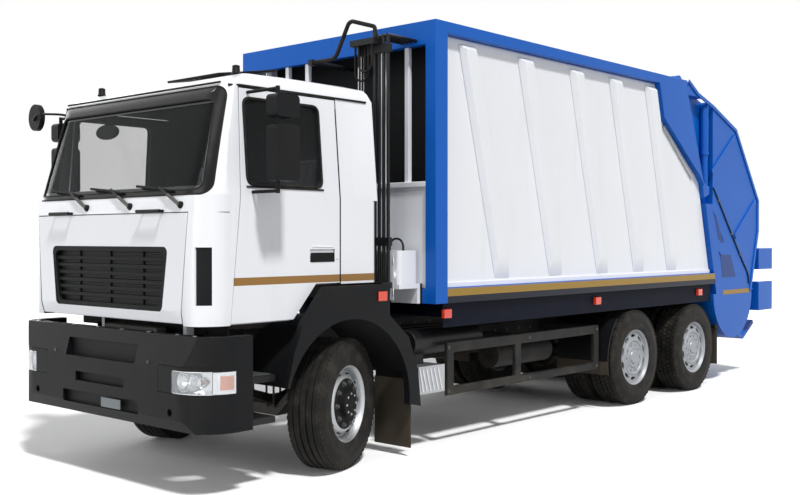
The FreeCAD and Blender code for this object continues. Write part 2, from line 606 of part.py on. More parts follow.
def wheel_profile(side, inner, outer, disc, disc_thick, hub, hub_start, hub_end, bore, bore_end):
    start, end = rim_edges(side, inner, outer)
    flange, barrel = the("flange_radius"), the("rim_inner_radius")
    bed, step = the("bead_radius") - gap, side * the("flange_thick")
    profile = [(side * hub_start, bore), (side * hub_start, hub), (side * (disc - disc_thick), hub),
               (side * (disc - disc_thick), barrel), (start, barrel), (start, flange),
               (start + step, flange), (start + step, bed), (end - step, bed), (end - step, flange),
               (end, flange), (end, barrel), (side * disc, barrel), (side * disc, hub),
               (side * hub_end, hub * HUB_CROWN_SHARE), (side * hub_end, size(0)),
               (side * bore_end, size(0)), (side * bore_end, bore)]
    return profile


HUB_CROWN_SHARE = 0.8
ROUND_SLOTS = 10


def slots(name, count, circle, radius, low, high, x, y, z):
    # Round openings in a ring about a line along Y.
    holes = []
    for index in range(count):
        turn = Size(360.0 / count * index, repr(360.0 / count * index))
        holes.append(rod(f"{name}_{index}", "Y", low, high,
                         (x + circle * sine(turn), z + circle * cosine(turn)),
                         radius))
    return holes


def rear_wheels():
    outer = the("outer_tyre_centre")
    inner = outer - the("dual_spacing")
    disc, thick = the("rear_disc_face"), the("rear_disc_thick")
    for word, spot in (("second", axle_second), ("last", axle_last)):
        for hand, side in (("left", 1), ("right", -1)):
            name = f"{word}_{hand}"
            tyres = [tyre(f"tyre_{name}_{index}", side * centre, x=spot, z=axle_z)
                     for index, centre in enumerate((inner, outer))]
            node(f"tyres_{name}", group(f"tyres_{name}_pair", *tyres))
            profile = wheel_profile(side, inner, outer, disc, thick, the("rear_hub_radius"),
                                    the("rear_hub_inner"), the("rear_hub_reach"), the("housing_radius") + gap,
                                    the("housing_half_length") + gap)
            wheel = turned(f"wheel_{name}", profile, spot, 0, axle_z)
            low, high = sorted((side * (disc - thick - overrun), side * (disc + overrun)),
                               key=lambda item: item.value)
            holes = slots(f"slot_{name}", ROUND_SLOTS, the("rear_slot_circle"), the("rear_slot_radius"),
                          low, high, spot, 0, axle_z)
            node(f"rims_{name}", cut(f"wheel_{name}_slotted", wheel, *holes))


def steered(thing, side, z=None):
    # Turns a piece modelled about its kingpin to the steering angle and puts it in its place.
    thing.Placement = Placement(Vector(), Rotation(Vector(0, 0, 1), the("steer_angle").value))
    bind(thing, "Placement.Rotation.Angle", the("steer_angle"))
    return locate(thing, axle_front, side * the("kingpin_half_track"), axle_z if z is None else z)


def front_wheels():
    centre = the("front_tyre_offset")
    disc, thick = the("front_disc_face"), the("front_disc_thick")
    for hand, side in (("left", 1), ("right", -1)):
        node(f"tyre_front_{hand}", steered(tyre(f"tyre_front_{hand}_body", side * centre), side))
        profile = wheel_profile(side, centre, centre, disc, thick, the("front_hub_radius"),
                                the("fork_back_start") + the("fork_back_thick") + the("panel_gap"),
                                the("front_hub_reach"), the("stub_radius") + gap, the("stub_reach") + gap)
        node(f"rim_front_{hand}", steered(turned(f"wheel_front_{hand}", profile), side))
        knuckle(hand, side)


CHEEK_SHARE = 0.8


def knuckle(hand, side):
    reach, fork, clear = the("kingpin_boss_height") / 2, the("fork_height"), the("fork_gap")
    wide, start, thick = the("fork_half_width"), the("fork_back_start"), the("fork_back_thick")
    outer = reach + clear + fork
    body = doc.addObject("PartDesign::Body", f"knuckle_{hand}_body")

    def add(name, offset, points, length):
        drawing = draw(body, name, "XY_Plane", offset, [(x, side * y) for x, y in points])
        pad = body.newObject("PartDesign::Pad", name + "_pad")
        pad.Profile = drawing
        bind(pad, "Length", length)

    back = [(-wide, start), (wide, start), (wide, start + thick), (-wide, start + thick)]
    add(f"back_{hand}", -outer, back, outer * 2)
    cheek = [(-wide, start), (wide, start), (wide * CHEEK_SHARE, -wide), (-wide * CHEEK_SHARE, -wide)]
    add(f"fork_low_{hand}", -outer, cheek, fork)
    add(f"fork_high_{hand}", reach + clear, cheek, fork)
    steered(body, side)
    pin = rod(f"kingpin_{hand}", "Z", axle_z - outer, axle_z + outer,
              (axle_front, side * the("kingpin_half_track")), the("ram_pin_radius"))
    stub = [(side * start, size(0)), (side * start, the("stub_radius")),
            (side * the("stub_reach"), the("stub_radius")), (side * the("stub_reach"), size(0))]
    stub = steered(turned(f"stub_{hand}", stub), side)
    node(f"knuckle_{hand}", fuse(f"knuckle_{hand}_joined", body, stub, pin))


def power_unit():
    wide = the("engine_half_width")
    engine = box("engine_block", (ahead("engine_rear"), ahead("engine_front")), (-wide, wide),
                 (the("engine_bottom"), the("engine_top")))
    wide = the("gearbox_half_width")
    gearbox = box("gearbox_case", (ahead("gearbox_rear"), ahead("engine_rear")), (-wide, wide),
                  (the("gearbox_bottom"), the("gearbox_top")))
    wide = the("radiator_half_width")
    front = ahead("radiator_front")
    radiator = box("radiator_core", (front - the("radiator_length"), front), (-wide, wide),
                   (the("radiator_bottom"), the("radiator_top")))
    duct = box("radiator_duct", (ahead("engine_front"), front - the("radiator_length")),
               (-the("engine_half_width") / 2, the("engine_half_width") / 2),
               (the("radiator_bottom"), the("crossmember_height") + the("radiator_bottom")))
    spot, level = ahead("mount_x"), the("mount_z")
    arm = box("engine_mount", (spot, spot + the("hanger_length")),
              (the("engine_half_width"), the("rail_half_gauge") - the("rail_web")),
              (level, level + the("mount_height")))
    node("power_unit", fuse("power_joined", engine, gearbox, radiator, duct, arm,
                            mirror("engine_mount_right", arm)))


def chassis_tanks():
    corner = the("tank_corner")
    low, high, inner, outer = the("tank_bottom"), the("tank_top"), -the("tank_inner"), -the("tank_outer")
    section = [(outer, low, corner), (inner, low, corner), (inner, high, corner), (outer, high, corner)]
    tank = slab("tank_shell", "YZ_Plane", section, ahead("tank_rear"), ahead("tank_front"))
    strap = the("bracket_thick")
    bands = [box(f"tank_bracket_{index}", (spot, spot + strap), (inner - corner, -the("rail_half_gauge")),
                 (low, high - corner)) for index, spot in
             enumerate((ahead("tank_rear") + corner, ahead("tank_front") - corner - strap))]
    tank = fuse("tank_joined", tank, *bands)
    radius = the("air_radius")
    vessel = rod("air_vessel", "X", ahead("air_rear"), ahead("air_front"),
                 (the("air_centre_y"), the("air_centre_z")), radius)
    hanger = box("air_hanger", (ahead("air_rear") + radius, ahead("air_rear") + radius * 2),
                 (the("rail_half_gauge"), the("air_centre_y")),
                 (the("air_centre_z"), the("air_centre_z") + radius))
    node("chassis_tanks", group("tanks", tank, fuse("air_joined", vessel, hanger)))
    drum = rod("muffler_drum", "X", ahead("muffler_rear"), ahead("muffler_front"),
               (the("muffler_y"), the("muffler_z")), the("muffler_radius"))
    outlet = box("muffler_outlet", (ahead("outlet_rear"), ahead("outlet_front")),
                 (the("outlet_inner"), the("outlet_outer")), (the("outlet_bottom"), the("outlet_top")))
    down = box("muffler_neck",
               (ahead("outlet_rear") + the("muffler_radius"), ahead("outlet_front") - the("muffler_radius")),
               (the("muffler_y") - the("muffler_radius") / 2, the("muffler_y") + the("muffler_radius") / 2),
               (the("outlet_top"), the("muffler_z")))
    arm = box("muffler_arm", (ahead("outlet_rear"), ahead("outlet_rear") + the("bracket_thick")),
              (the("rail_half_gauge"), the("muffler_y")), (the("muffler_z") - the("muffler_radius") / 2,
                                                          the("muffler_z") + the("muffler_radius") / 2))
    node("muffler", fuse("muffler_joined", drum, outlet, down, arm))


def side_guards():
    outer = the("guard_outer")
    inner = outer - the("guard_thick")
    rear, front = axle_second + the("guard_rear_gap"), ahead("guard_front")
    top, low_top, post = the("guard_upper_top"), the("guard_lower_top"), the("guard_post")
    upper = box("guard_upper", (rear, front), (inner, outer), (top - the("guard_upper_height"), top))
    lower = box("guard_lower", (rear, front), (inner, outer), (low_top - the("guard_lower_height"), low_top))
    spots = (rear, ahead("guard_middle"), front - post)
    posts = [box(f"guard_post_{index}", (spot, spot + post), (inner, outer),
                 (low_top - the("guard_lower_height"), top))
             for index, spot in enumerate(spots)]
    arms = [box(f"guard_arm_{index}", (spot, spot + the("guard_arm")), (start, inner),
                (top - the("guard_upper_height"), top))
            for index, (spot, start) in enumerate(((spots[0], the("rail_half_gauge")),
                                                   (spots[1], the("rail_half_gauge")),
                                                   (spots[1], the("tank_outer")),
                                                   (spots[2], the("tank_outer"))))]
    left = fuse("guard_left", upper, lower, *posts, *arms[:2])
    right = fuse("guard_right", upper, lower, *posts, arms[0], *arms[2:])
    node("side_guards", group("guards", left, mirror("guard_right_placed", right)))


def front_bumper():
    half, rear, wall = the("bumper_half_width"), ahead("bumper_rear"), the("bumper_wall")
    start, corner = the("bumper_corner_start"), the("bumper_corner")
    face, low, top = ahead("bumper_face"), the("bumper_bottom"), the("bumper_top")

    def plan(name, inset, back, below, above):
        points = [(back, -half + inset), (back, half - inset), (face - inset, half - inset, corner - inset),
                  (face - inset, -half + inset, corner - inset)]
        return slab(name, "XY_Plane", points, below, above)

    outer = plan("bumper_plan", size(0), rear, low, top)
    side = side_slab("bumper_side", [(rear, low), (ahead("bumper_foot"), low), (face, the("bumper_chin")),
                                     (face, the("grip_bottom")), (ahead("bumper_brow"), top), (rear, top)],
                     -half, half)
    shell = common("bumper_form", outer, side)
    inner = plan("bumper_inner", wall, rear - overrun, low - overrun, top + overrun)
    top_skin = box("bumper_shelf_top", (face - the("bumper_shelf_length"), face),
                   (-the("bumper_corner_start"), start), (top - the("grip_depth"), top))
    lug, clear = the("tilt_lug_y"), the("panel_gap") * 2
    slot = box("bumper_tilt_slot", (rear, face - wall), (lug - clear, lug + the("tilt_lug_thick") + clear),
               (top - the("grip_depth") - overrun, top + overrun))
    depth = the("grip_depth")
    grip = box("bumper_grip", (face - depth * 2, face + overrun),
               (-the("grip_half_width"), the("grip_half_width")), (the("grip_bottom"), the("grip_top")))
    mesh = box("bumper_mesh", (face - the("mesh_depth"), face + overrun),
               (-the("mesh_half_width"), the("mesh_half_width")), (the("mesh_bottom"), the("mesh_top")))
    mouth = box("bumper_mouth", (face - the("mesh_depth"), face + overrun),
                (-the("mouth_half_width"), the("mouth_half_width")), (the("mouth_bottom"), the("mouth_top")))
    lamp = lamp_block("bumper_lamp_hole", size(0))
    tow = rod("tow_bore", "X", face - wall - overrun, face + overrun, (the("tow_y"), the("tow_z")),
              the("tow_radius"))
    hollow = cut("bumper_hollow", shell, inner)
    joined = fuse("bumper_joined", hollow, common("bumper_cap", top_skin, shell))
    node("front_bumper", cut("bumper_open", joined, grip, mesh, mouth, lamp, mirror("lamp_hole_right", lamp),
                             tow, mirror("tow_bore_right", tow), slot, mirror("tilt_slot_right", slot)))
    lens = lamp_block("headlamp_block", the("lamp_gap"))
    half, corner = the("bumper_half_width"), the("bumper_corner")
    points = [(rear, -half), (rear, half), (face, half, corner), (face, -half, corner)]
    room = slab("lamp_room", "XY_Plane", points, low, top)
    lamps = common("headlamp_form", lens, room)
    node("headlamps", both("headlamp_pair", lamps))


def lamp_block(name, inset):
    face = ahead("bumper_face")
    return box(name, (face - the("lamp_depth") - the("bumper_corner") + inset, face + overrun),
               (the("lamp_inner") + inset, the("lamp_outer") - inset),
               (the("lamp_bottom") + inset, the("lamp_top") - inset))


def front_arches():
    outline = [front_point("arch_foot_front"), front_point("arch_knee"), front_point("arch_shoulder"),
               front_point("arch_peak"), (ahead("arch_back"), the("arch_top")),
               (ahead("arch_back"), the("arch_back_low")), front_point("arch_hip"), front_point("arch_calf"),
               front_point("arch_heel")]
    outer, skin = the("arch_outer"), the("arch_skin")
    plate = side_slab("arch_plate", outline, outer - skin, outer)
    radius, liner, inner = the("arch_clear_radius"), the("arch_liner"), the("arch_inner")
    centre = (axle_front, axle_z)
    hollow = rod("arch_hollow", "Y", inner - overrun, outer + overrun, centre, radius)
    drum = rod("arch_drum", "Y", inner, outer - skin, centre, radius + liner)
    keep = box("arch_keep", (axle_front - radius - liner, axle_front + radius + liner), (inner, outer),
               (the("arch_foot_front_z"), the("arch_top")))
    liner_ring = common("arch_ring", drum, keep)
    arch = cut("arch_open", fuse("arch_joined", plate, liner_ring), hollow)
    flap = box("front_flap_sheet", (ahead("flap_front") - the("flap_thick"), ahead("flap_front")),
               (the("flap_inner"), the("flap_outer")), (the("flap_bottom"), the("flap_top")))
    hanger = box("front_flap_hanger", (ahead("arch_calf_x"), ahead("flap_front") - the("flap_thick")),
                 (the("flap_inner"), outer - skin),
                 (the("flap_top") - the("flap_thick") * 4, the("flap_top")))
    stay = box("arch_stay", (axle_front - the("bracket_thick"), axle_front + the("bracket_thick")),
               (the("rail_half_gauge"), inner + overrun), (axle_z + radius, axle_z + radius + liner))
    low_stay = box("arch_stay_post", (axle_front - the("bracket_thick"), axle_front + the("bracket_thick")),
                   (the("rail_half_gauge"), the("rail_half_gauge") + the("bracket_thick")),
                   (the("rail_top") - the("bracket_thick") * 2, axle_z + radius + liner))
    piece = fuse("arch_all", arch, flap, hanger, stay, low_stay)
    node("front_arches", both("arch_pair", piece))


def cab_steps():
    high, inner, outer = the("cab_step_height"), the("cab_step_inner"), the("cab_step_outer")
    rear, front = ahead("cab_step_rear"), ahead("cab_step_front")
    treads = [box(f"cab_tread_{index}", (rear, front), (inner, outer), (level, level + high))
              for index, level in enumerate((the("cab_step_low"), the("cab_step_high")))]
    back = box("cab_step_back", (rear, front), (inner - high, inner), (the("cab_step_low"),
                                                                      the("cab_step_high") + high))
    arm = box("cab_step_arm", (front - high, front), (the("rail_half_gauge"), inner - high),
              (rail_bottom, the("cab_step_high") + high))
    brace = box("cab_step_brace", (front, ahead("bumper_rear")), (outer - high, outer),
                (the("cab_step_low"), the("cab_step_low") + high))
    node("cab_steps", both("cab_steps_pair", fuse("cab_steps_joined", *treads, back, arm, brace)))


def rear_guards():
    inner, outer = the("rear_guard_inner"), the("rear_guard_outer")
    radius = the("tyre_radius") + the("rear_guard_clear")
    thick = the("rear_guard_thick")
    drum = rod("rear_guard_drum", "Y", inner, outer, (axle_second, axle_z), radius + thick)
    hollow = rod("rear_guard_hollow", "Y", inner - overrun, outer + overrun, (axle_second, axle_z), radius)
    keep = box("rear_guard_keep",
               (axle_second + the("tyre_radius") * HUB_CROWN_SHARE, axle_second + radius + thick),
               (inner, outer), (the("rear_guard_low"), the("rear_guard_high")))
    arm = box("rear_guard_arm", (axle_second + radius * GUARD_ARM_SHARE, axle_second + the("guard_rear_gap")),
              (the("rail_half_gauge"), inner + overrun), (rail_bottom, rail_bottom + the("bracket_thick")))
    guard = fuse("rear_guard", common("rear_guard_arc", cut("rear_guard_ring", drum, hollow), keep), arm)
    spot, high, bar = axle_last - the("rear_flap_gap"), the("rear_flap_high"), the("rear_flap_bar")
    flap = box("rear_flap", (spot - thick, spot), (inner, outer), (the("rear_flap_low"), high))
    beam = box("rear_flap_beam", (spot, spot + bar), (the("rail_half_gauge") - bar, outer),
               (high - bar, high))
    tail = axle_last - the("rail_tail")
    stay = side_slab("rear_flap_stay", [(tail, rail_bottom), (spot, high), (spot, high - bar),
                                        (spot + bar, high - bar), (tail + bar * 2, rail_bottom)],
                     the("rail_half_gauge") - bar, the("rail_half_gauge"))
    node("rear_mudguards", both("rear_mudguards_pair",
                                group("rear_guard_pair", guard, fuse("flap_joined", flap, beam, stay))))


GUARD_ARM_SHARE = 0.85


def rear_line(z):
    # Rear edge of the body's lower side at a height.
    x_mid, x_low = behind("rear_mid_x"), behind("rear_low_x")
    fall = (the("rear_mid_z") - z) / (the("rear_mid_z") - the("floor_top"))
    return x_mid + (x_low - x_mid) * fall


def body_subframe():
    rear, front = behind("rear_low_x"), body_front
    low, top = the("floor_bottom"), the("floor_top")
    floor = box("body_floor", (rear, front - the("pillar_length")), (-sheet_outer, sheet_outer), (low, top))
    gauge, wide = the("rail_half_gauge"), the("subrail_width")
    tail = axle_last - the("rail_tail")
    rail = box("subrail", (tail, front), (gauge - wide, gauge), (the("rail_top"), low))
    outer, thick = the("valance_outer"), the("valance_thick")
    valance = box("valance", (tail, front - the("valance_front")), (outer - thick, outer),
                  (the("valance_bottom"), the("sill_bottom")))
    reach = outer - thick
    count = int(((front - tail).value - the("crossbeam_first").value) // the("crossbeam_pitch").value) + 1
    beams = [box(f"crossbeam_{index}", (front - the("crossbeam_first") - the("crossbeam_pitch") * index
                                        - the("crossbeam_length"),
                                        front - the("crossbeam_first") - the("crossbeam_pitch") * index),
                 (-reach, reach), (low - the("crossbeam_height"), low)) for index in range(count)]
    node("body_subframe", fuse("subframe_joined", floor, rail, mirror("subrail_right", rail), valance,
                               mirror("valance_right", valance), *beams))


def body_frame():
    front, length, top = body_front, the("pillar_length"), the("body_top")
    sill_low, sill_top = the("sill_bottom"), the("sill_top")
    pillar = box("pillar", (front - length, front), (sheet_inner, body_half), (sill_low, top))
    rail = box("top_rail", (behind("rear_top_x"), front), (sheet_inner, body_half), (rail_low, top))
    sill = side_slab("sill", [(front - length, sill_low), (front - length, sill_top),
                              (rear_line(sill_top), sill_top), (rear_line(sill_low), sill_low)],
                     sheet_outer, body_half)
    plate = side_slab("rear_plate", [(behind("cut_top_x"), rail_low), tail_point("cut_upper"),
                                     tail_point("cut_lower"), tail_point("rear_mid"),
                                     (behind("rear_top_x"), rail_low)], sheet_outer, body_half)
    post = the("rear_post_width")
    clear = the("hinge_lug_radius") + the("panel_gap")
    top_x, mid, low_x = hinge[0] + clear, tail_point("rear_mid"), behind("rear_low_x")
    post = side_slab("rear_post", [(top_x, rail_low), mid, (low_x, the("floor_top")),
                                   (low_x + post, the("floor_top")), (mid[0] + post, mid[1]),
                                   (top_x + the("rear_beam_length"), rail_low)],
                     sheet_inner - the("rear_post_depth"), sheet_inner)
    ledge = box("front_foot", (front - length, front), (-sheet_inner, sheet_inner), (sill_low, sill_top))
    beam = box("front_beam", (front - the("front_beam_length"), front), (-sheet_inner, sheet_inner),
               (top - the("front_beam_height"), top))
    rear_beam = box("rear_beam", (hinge[0] + clear, hinge[0] + clear + the("rear_beam_length")),
                    (-sheet_inner, sheet_inner), (top - the("rear_beam_height"), top))
    lug_in = the("hinge_lug_inner")
    lug = rod("body_lug", "Y", lug_in, lug_in + the("hinge_lug_thick"), hinge, the("hinge_lug_radius"))
    web = box("body_lug_web", (hinge[0], hinge[0] + clear), (lug_in, lug_in + the("hinge_lug_thick")),
              (hinge[1] - the("hinge_lug_radius") * CHEEK_SHARE, hinge[1]))
    pin = rod("body_hinge_pin", "Y", lug_in, sheet_inner - the("panel_gap"), hinge, the("hinge_pin_radius"))
    roof_top = top - the("roof_drop")
    roof = box("roof_sheet", (hinge[0] + clear + the("rear_beam_length"), front - the("front_beam_length")),
               (-sheet_inner, sheet_inner), (roof_top - the("roof_thick"), roof_top))
    sides = [pillar, rail, sill, plate, post, lug, web, pin]
    node("body_frame", fuse("body_frame_joined", ledge, beam, rear_beam, roof, *sides,
                            *[mirror(f"{piece.Name}_right", piece) for piece in sides]))


def ram_feet():
    x, z = tail_point("ram_foot")
    eye, middle = the("ram_eye_radius"), the("rear_mid_z")
    low, high = z - eye * 2, middle + eye
    rise = (high - middle) / (rail_low - middle)
    upper_x = behind("rear_mid_x") + (the("rear_top_x") - the("rear_mid_x")) * rise
    outline = [(upper_x, high), (behind("rear_mid_x"), middle), (rear_line(low), low), (x - eye, z - eye),
               (x - eye, z + eye)]
    half = the("ram_eye_width") / 2 + the("lamp_gap")
    lug = side_slab("ram_lug", outline, the("ram_y") - half - the("ram_lug_thick") / 2,
                    the("ram_y") + half + the("ram_lug_thick") / 2)
    slot = box("ram_lug_slot", (x - eye - overrun, x + eye + the("lamp_gap")),
               (the("ram_y") - half, the("ram_y") + half), (low - overrun, high + overrun))
    node("ram_feet", both("ram_feet_pair", cut("ram_lug_slotted", lug, slot)))


def body_sides():
    front, bottom = body_front - the("pillar_length"), the("floor_top")
    outline = [(front, bottom), (front, rail_low), (behind("rear_top_x"), rail_low), tail_point("rear_mid"),
               (rear_line(bottom), bottom)]
    sheet_body = doc.addObject("PartDesign::Body", "side_sheet")
    drawing = draw(sheet_body, "side_sheet_outline", "XZ_Plane", -sheet_outer, outline)
    pad = sheet_body.newObject("PartDesign::Pad", "side_sheet_pad")
    pad.Profile = drawing
    bind(pad, "Length", the("sheet_thick"))
    low, high = the("rib_bottom"), the("rib_top")
    face, base, proud = the("rib_face") / 2, the("rib_base") / 2, the("rib_proud")
    for index in range(RIBS):
        pitches = (the("rib_pitch_front") * min(index, FRONT_RIBS)
                   + the("rib_pitch_rear") * max(index - FRONT_RIBS, 0))
        centre = ahead("rib_top_centre") - pitches
        sections = []
        for word, level, shift in (("low", low, the("rib_lean")), ("high", high, size(0))):
            middle = centre - shift
            sections.append(draw(sheet_body, f"rib_{index}_{word}", "XY_Plane", level,
                                 [(middle - base, sheet_outer), (middle + base, sheet_outer),
                                  (middle + face, sheet_outer + proud),
                                  (middle - face, sheet_outer + proud)]))
        loft = sheet_body.newObject("PartDesign::AdditiveLoft", f"rib_{index}")
        loft.Profile = sections[0]
        loft.Sections = [sections[1]]
        loft.Ruled = True
    node("body_side_left", sheet_body)
    node("body_side_right", mirror("side_sheet_right", sheet_body))


RIBS = 5
FRONT_RIBS = 2


def body_front_wall():
    face = body_front - the("apron_inset")
    inner, thick = sheet_inner, the("apron_thick")
    deep = body_front - the("wall_depth")
    apron = box("apron", (face - thick, face), (-inner, inner), (the("sill_top"), the("apron_top")))
    ledge = box("apron_ledge", (deep, face + the("apron_inset")), (-inner, inner),
                (the("ledge_top") - the("ledge_thick"), the("ledge_top")))
    riser = box("apron_riser", (face - thick * 2, face - thick), (-inner, inner),
                (the("apron_top") - thick, the("ledge_top") - the("ledge_thick")))
    wall = box("bulkhead", (deep - the("wall_thick"), deep), (-inner, inner), (the("floor_top"), rail_low))
    half = the("post_size") / 2
    posts = []
    for index, alias in enumerate(("post_outer", "post_middle", "post_inner")):
        post = box(f"front_post_{index}", (face - the("post_size"), face),
                   (the(alias) - half, the(alias) + half),
                   (the("ledge_top"), the("body_top") - the("front_beam_height")))
        posts += [post, mirror(f"front_post_right_{index}", post)]
    node("body_front_wall", fuse("front_wall_joined", apron, ledge, riser, wall, *posts))


def ejector():
    front = ahead("ejector_front")
    length, thick, foot = the("ejector_length"), the("ejector_thick"), the("ejector_foot")
    wide, top, low = the("ejector_half_width"), the("ejector_top"), the("floor_top") + the("slide_gap")
    outline = [(front, low), (front - length, low), (front - length, low + foot),
               (front - thick, low + length),
               (front - thick, top - foot), (front - thick * 2, top), (front, top)]
    node("ejector_plate", side_slab("ejector_form", outline, -wide, wide))


def pipe_rack():
    x = ahead("pipe_x")
    pipes = []
    for index in range(PIPES):
        y = the("pipe_first") + the("pipe_pitch") * index
        pipes.append(rod(f"pipe_{index}", "Z", the("pipe_bottom"), the("pipe_top"), (x, y),
                         the("pipe_radius")))
        pipes.append(rod(f"pipe_return_{index}", "X", body_front, x + the("pipe_radius"),
                         (y, the("pipe_top")), the("pipe_radius")))
    margin, half = the("clamp_margin"), the("clamp_thick") / 2
    low_y, high_y = the("thin_first") - margin, the("pipe_first") + the("pipe_pitch") * (PIPES - 1) + margin
    for index, alias in enumerate(("pipe_clamp_low", "pipe_clamp_high")):
        level = the(alias)
        pipes.append(box(f"pipe_clamp_{index}", (x - half, x + half), (low_y, high_y),
                         (level, level + the("clamp_height"))))
    arm = box("pipe_arm", (body_front - the("apron_inset"), x), (low_y, low_y + margin),
              (the("pipe_clamp_low"), the("pipe_clamp_low") + the("clamp_height")))
    socket = rod("feed_socket", "Z", the("pipe_top"), the("socket_top"), (x, the("pipe_first")),
                 the("feed_radius"))
    feed, block = (the("feed_y"), the("feed_z")), the("feed_block") / 2
    supply = rod("feed_pipe", "X", body_front - the("wall_depth"), x, feed, the("feed_radius"))
    fitting = box("feed_fitting", (x - block, x + block), (feed[0] - block, feed[0] + block),
                  (feed[1] - block, feed[1] + block))
    low, high = the("pipe_bottom"), the("pipe_clamp_high") + the("clamp_height")
    manifolds = [box(f"manifold_{index}", (x - half, x + the("manifold_reach")),
                     (the("manifold_inner"), high_y if index == 0 else the("manifold_outer")),
                     (level, level + the("manifold_height")))
                 for index, level in enumerate((low - the("manifold_height"), high))]
    node("pipe_rack", fuse("pipe_rack_joined", *pipes, arm, socket, supply, fitting, *manifolds))


PIPES = 4


def hoses():
    x = ahead("pipe_x")
    feed_y, feed_z = the("feed_y"), the("feed_z")
    route = [(feed_y + the("feed_block") / 2, feed_z),
             (the("feed_rise_x"), the("feed_rise_z"), the("feed_bend")),
             (the("feed_peak_x"), the("feed_peak_z"), the("feed_peak_bend")),
             (the("pipe_first"), the("feed_fall_z"), the("feed_end_bend")),
             (the("pipe_first"), the("socket_top"))]
    lines = [hose("feed_hose", x, route, the("feed_hose_radius"))]
    radius = the("thin_radius")
    front = x + the("clamp_thick") / 2 + radius
    low, high = the("pipe_bottom"), the("pipe_clamp_high") + the("clamp_height")
    for index in range(THIN_HOSES):
        y = the("thin_first") + the("thin_pitch") * index
        lines.append(rod(f"thin_hose_{index}", "Z", low, high, (front, y), radius))
    for index in range(LOOPS):
        y = the("loop_first") + the("loop_shift") * index
        fall = the("loop_low") + the("loop_stagger") * index
        bend = the("loop_bend")
        far = y + the("loop_wide")
        lines.append(hose(f"hose_loop_{index}", front + the("loop_gap") * (index + 1),
                          [(y, high), (y, fall, bend), (far, fall, bend), (far, high)], radius))
    middle = (ahead("box_front") + ahead("box_rear")) / 2
    inner, outer, top = the("arch_hose_inner"), the("arch_hose_outer"), the("arch_hose_top")
    lines.append(hose("box_hose", middle, [(inner, the("box_top")), (inner, top, the("loop_bend")),
                                           (outer, top, the("loop_bend")), (outer, the("box_top"))], radius))
    node("hoses", group("hose_group", *lines))


THIN_HOSES = 3
LOOPS = 2


def control_box():
    corner = the("box_corner")
    rear, front = ahead("box_rear"), ahead("box_front")
    inner, outer, low, high = the("box_inner"), the("box_outer"), the("box_bottom"), the("box_top")
    case = slab("control_case", "XY_Plane", [(rear, inner, corner), (front, inner, corner),
                                             (front, outer, corner), (rear, outer, corner)], low, high)
    shelf = box("control_shelf", (body_front, front), (inner, outer), (low - the("shelf_thick"), low))
    foot = box("control_foot", (body_front, body_front + the("shelf_thick")), (inner, outer),
               (the("sill_bottom"), low))
    cap = rod("control_cap", "X", front, front + the("cap_height"),
              (outer - the("cap_radius") * 2, low + the("cap_radius") * 2), the("cap_radius"))
    node("control_box", fuse("control_joined", case, shelf, foot, cap))


def marker_lamps():
    half, high, thick = the("marker_length") / 2, the("marker_height") / 2, the("marker_thick")
    markers = []
    for index, alias in enumerate(("marker_front", "marker_middle", "marker_rear")):
        spot = ahead(alias)
        markers.append(box(f"marker_{index}", (spot - half, spot + half),
                           (the("valance_outer"), the("valance_outer") + thick),
                           (the("marker_z") - high, the("marker_z") + high)))
    spot = ahead("marker_arch_x")
    markers.append(box("marker_arch", (spot - half, spot + half),
                       (the("arch_outer"), the("arch_outer") + thick / 3),
                       (the("marker_arch_z") - high, the("marker_arch_z") + high)))
    node("marker_lamps", both("marker_pair", group("marker_side", *markers)))


